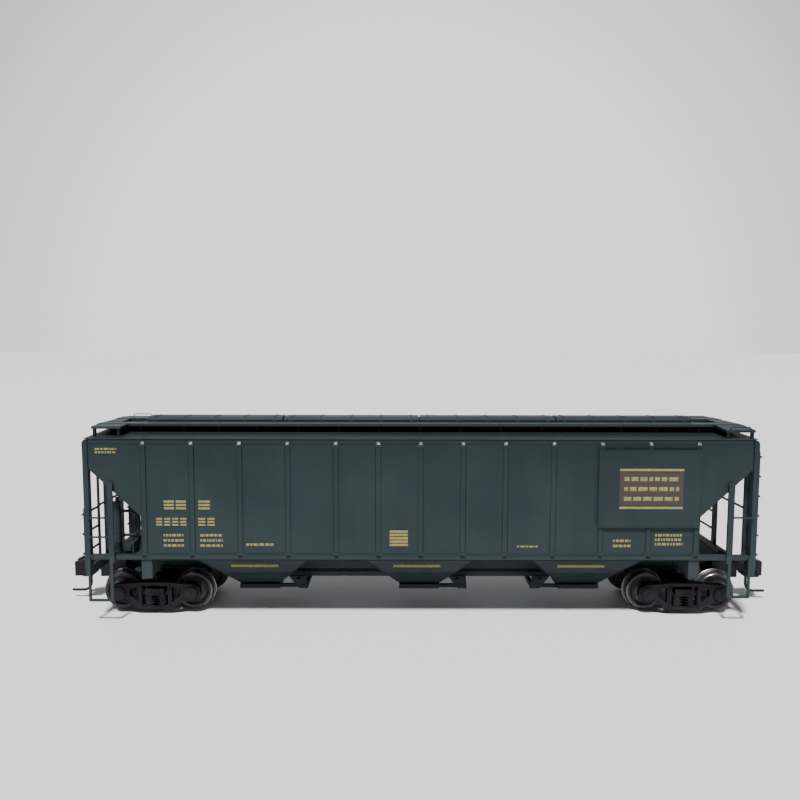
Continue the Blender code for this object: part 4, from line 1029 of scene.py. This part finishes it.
def underframe_fittings(letter):
    """Stiffeners and rivets under one end, the flange along that half of the centre sill, and a painted
    shadow line along the centre sill.
    """
    piece = Piece(f"underframe_fittings_{letter}", "car", "body_green", [PAINT_MAT, GAP_MAT])
    x = TRUCK_X["a"]
    for way in (-1, 1):
        pad = way * 18.3
        piece.box(about(x, 1.45), about(pad, 0.08), (11.6 + RAIL, 12.0 + RAIL), 0.04)
        for z in (12.6, 14.2, 15.8):
            for offset in (-0.9, 0.9):
                piece.dome((x + offset, pad, z + RAIL), (0, way, 0), 0.17, 0.10)
        for k in range(5):
            y = way * (4.0 + 2.8 * k)
            piece.box(about(x, 1.56), about(y, 0.14), (12.75 + RAIL, 16.5 + RAIL), 0.05)
        for k in range(9):
            for z in (12.3, 10.4):
                piece.dome((68.0 + 2.0 * k, way * 2.3, z + RAIL), (0, way, 0), 0.16, 0.09)
        piece.wire([(76.3, way * 2.24, 23.6 + RAIL), (88.9, way * 2.24, 13.25 + RAIL)], 0.16, 8)
    piece.box((60.0, 85.6), about(0, 2.75), (9.62 + RAIL, 9.86 + RAIL), 0.06)
    piece.box((8.5, 37.5), about(0, 2.62), (7.0 + RAIL, 8.5 + RAIL), 0.08)
    # Painted shadow: a dark line above the centre sill's lower part.
    piece.layer = 1
    piece.box((10.2, 35.8), about(0, 2.40), (8.55 + RAIL, 9.15 + RAIL), 0.04)
    if letter == "b":
        piece.half_turn()
    piece.done()


hopper_fittings()
brake_fittings()
brake_wheel_fittings()
for end_letter in ("a", "b"):
    underframe_fittings(end_letter)


# ---------------------------------------------------------------- floor, light and camera
def floor_material():
    """Matt white paper with a faint fibre."""
    s = Shader("floor_paper", specular=0.2)
    fibre = s.span(s.noise(0.35, 5.0), 0.3, 0.7)
    s.bump(s.noise(2.2, 3.0), 0.03, 0.2)
    return s.set(s.mix(fibre, (0.74, 0.73, 0.74), (0.77, 0.76, 0.77)), 0.8)


def add_floor():
    """A wide sheet under the wheel flanges."""
    mesh = bpy.data.meshes.new("floor")
    bm = bmesh.new()
    bmesh.ops.create_grid(bm, x_segments=1, y_segments=1, size=4000 * MM)
    bm.to_mesh(mesh)
    bm.free()
    floor = bpy.data.objects.new("floor", mesh)
    floor.location = (0, 0, CAD_LOW.z)
    mesh.materials.append(floor_material())
    bpy.context.scene.collection.objects.link(floor)


def add_light(name, place, size, watts):
    """A square area light aimed at the middle of the car."""
    data = bpy.data.lights.new(name, "AREA")
    data.shape = "SQUARE"
    data.size = size * MM
    data.energy = watts
    light = bpy.data.objects.new(name, data)
    light.location = Vector(place) * MM
    aim = Vector((0, 0, 30)) - Vector(place)
    light.rotation_euler = aim.to_track_quat("-Z", "Y").to_euler()
    bpy.context.scene.collection.objects.link(light)


def add_sun():
    """The main light: from high up in front, with a narrow soft edge to its shadows."""
    data = bpy.data.lights.new("key", "SUN")
    data.energy = 6.4
    data.angle = math.radians(7)
    data.color = (1.0, 0.985, 0.965)
    light = bpy.data.objects.new("key", data)
    light.rotation_euler = Vector((0.10, 0.46, -0.84)).to_track_quat("-Z", "Y").to_euler()
    bpy.context.scene.collection.objects.link(light)


def add_world():
    """A dim grey all round, with a bright round backdrop behind the car."""
    world = bpy.data.worlds.new("studio")
    world.use_nodes = True
    tree = world.node_tree
    sky = tree.nodes["Background"]
    direction = tree.nodes.new("ShaderNodeTexCoord").outputs["Generated"]
    split = tree.nodes.new("ShaderNodeSeparateXYZ")
    tree.links.new(direction, split.inputs[0])
    ramp = tree.nodes.new("ShaderNodeMapRange")
    edge, full, dim, bright = 0.66, 0.92, 0.07, 1.42
    for socket, number in zip(ramp.inputs[1:5], (edge, full, dim, bright)):
        socket.default_value = number
    tree.links.new(split.outputs[1], ramp.inputs[0])
    sky.inputs["Color"].default_value = (0.97, 0.98, 1.0, 1.0)
    tree.links.new(ramp.outputs[0], sky.inputs["Strength"])
    bpy.context.scene.world = world


def add_camera():
    """Eye-level view a little to the left of the car's middle, looking slightly down."""
    data = bpy.data.cameras.new("camera")
    data.sensor_width = 36.0
    data.lens = 31.56
    data.clip_start = 5 * MM
    camera = bpy.data.objects.new("camera", data)
    camera.location = Vector((-5.66, -205.12, 76.71 + RAIL)) * MM
    pitch_down, roll = math.radians(4.910), math.radians(-0.097)
    camera.rotation_euler = (math.pi / 2 - pitch_down, roll, 0)
    bpy.context.scene.collection.objects.link(camera)
    bpy.context.scene.camera = camera


add_floor()
add_world()
add_sun()
add_light("end_fill", (550, -280, 240), 500, 0.45)
add_light("back_fill", (-300, 400, 620), 600, 0.7)
add_camera()
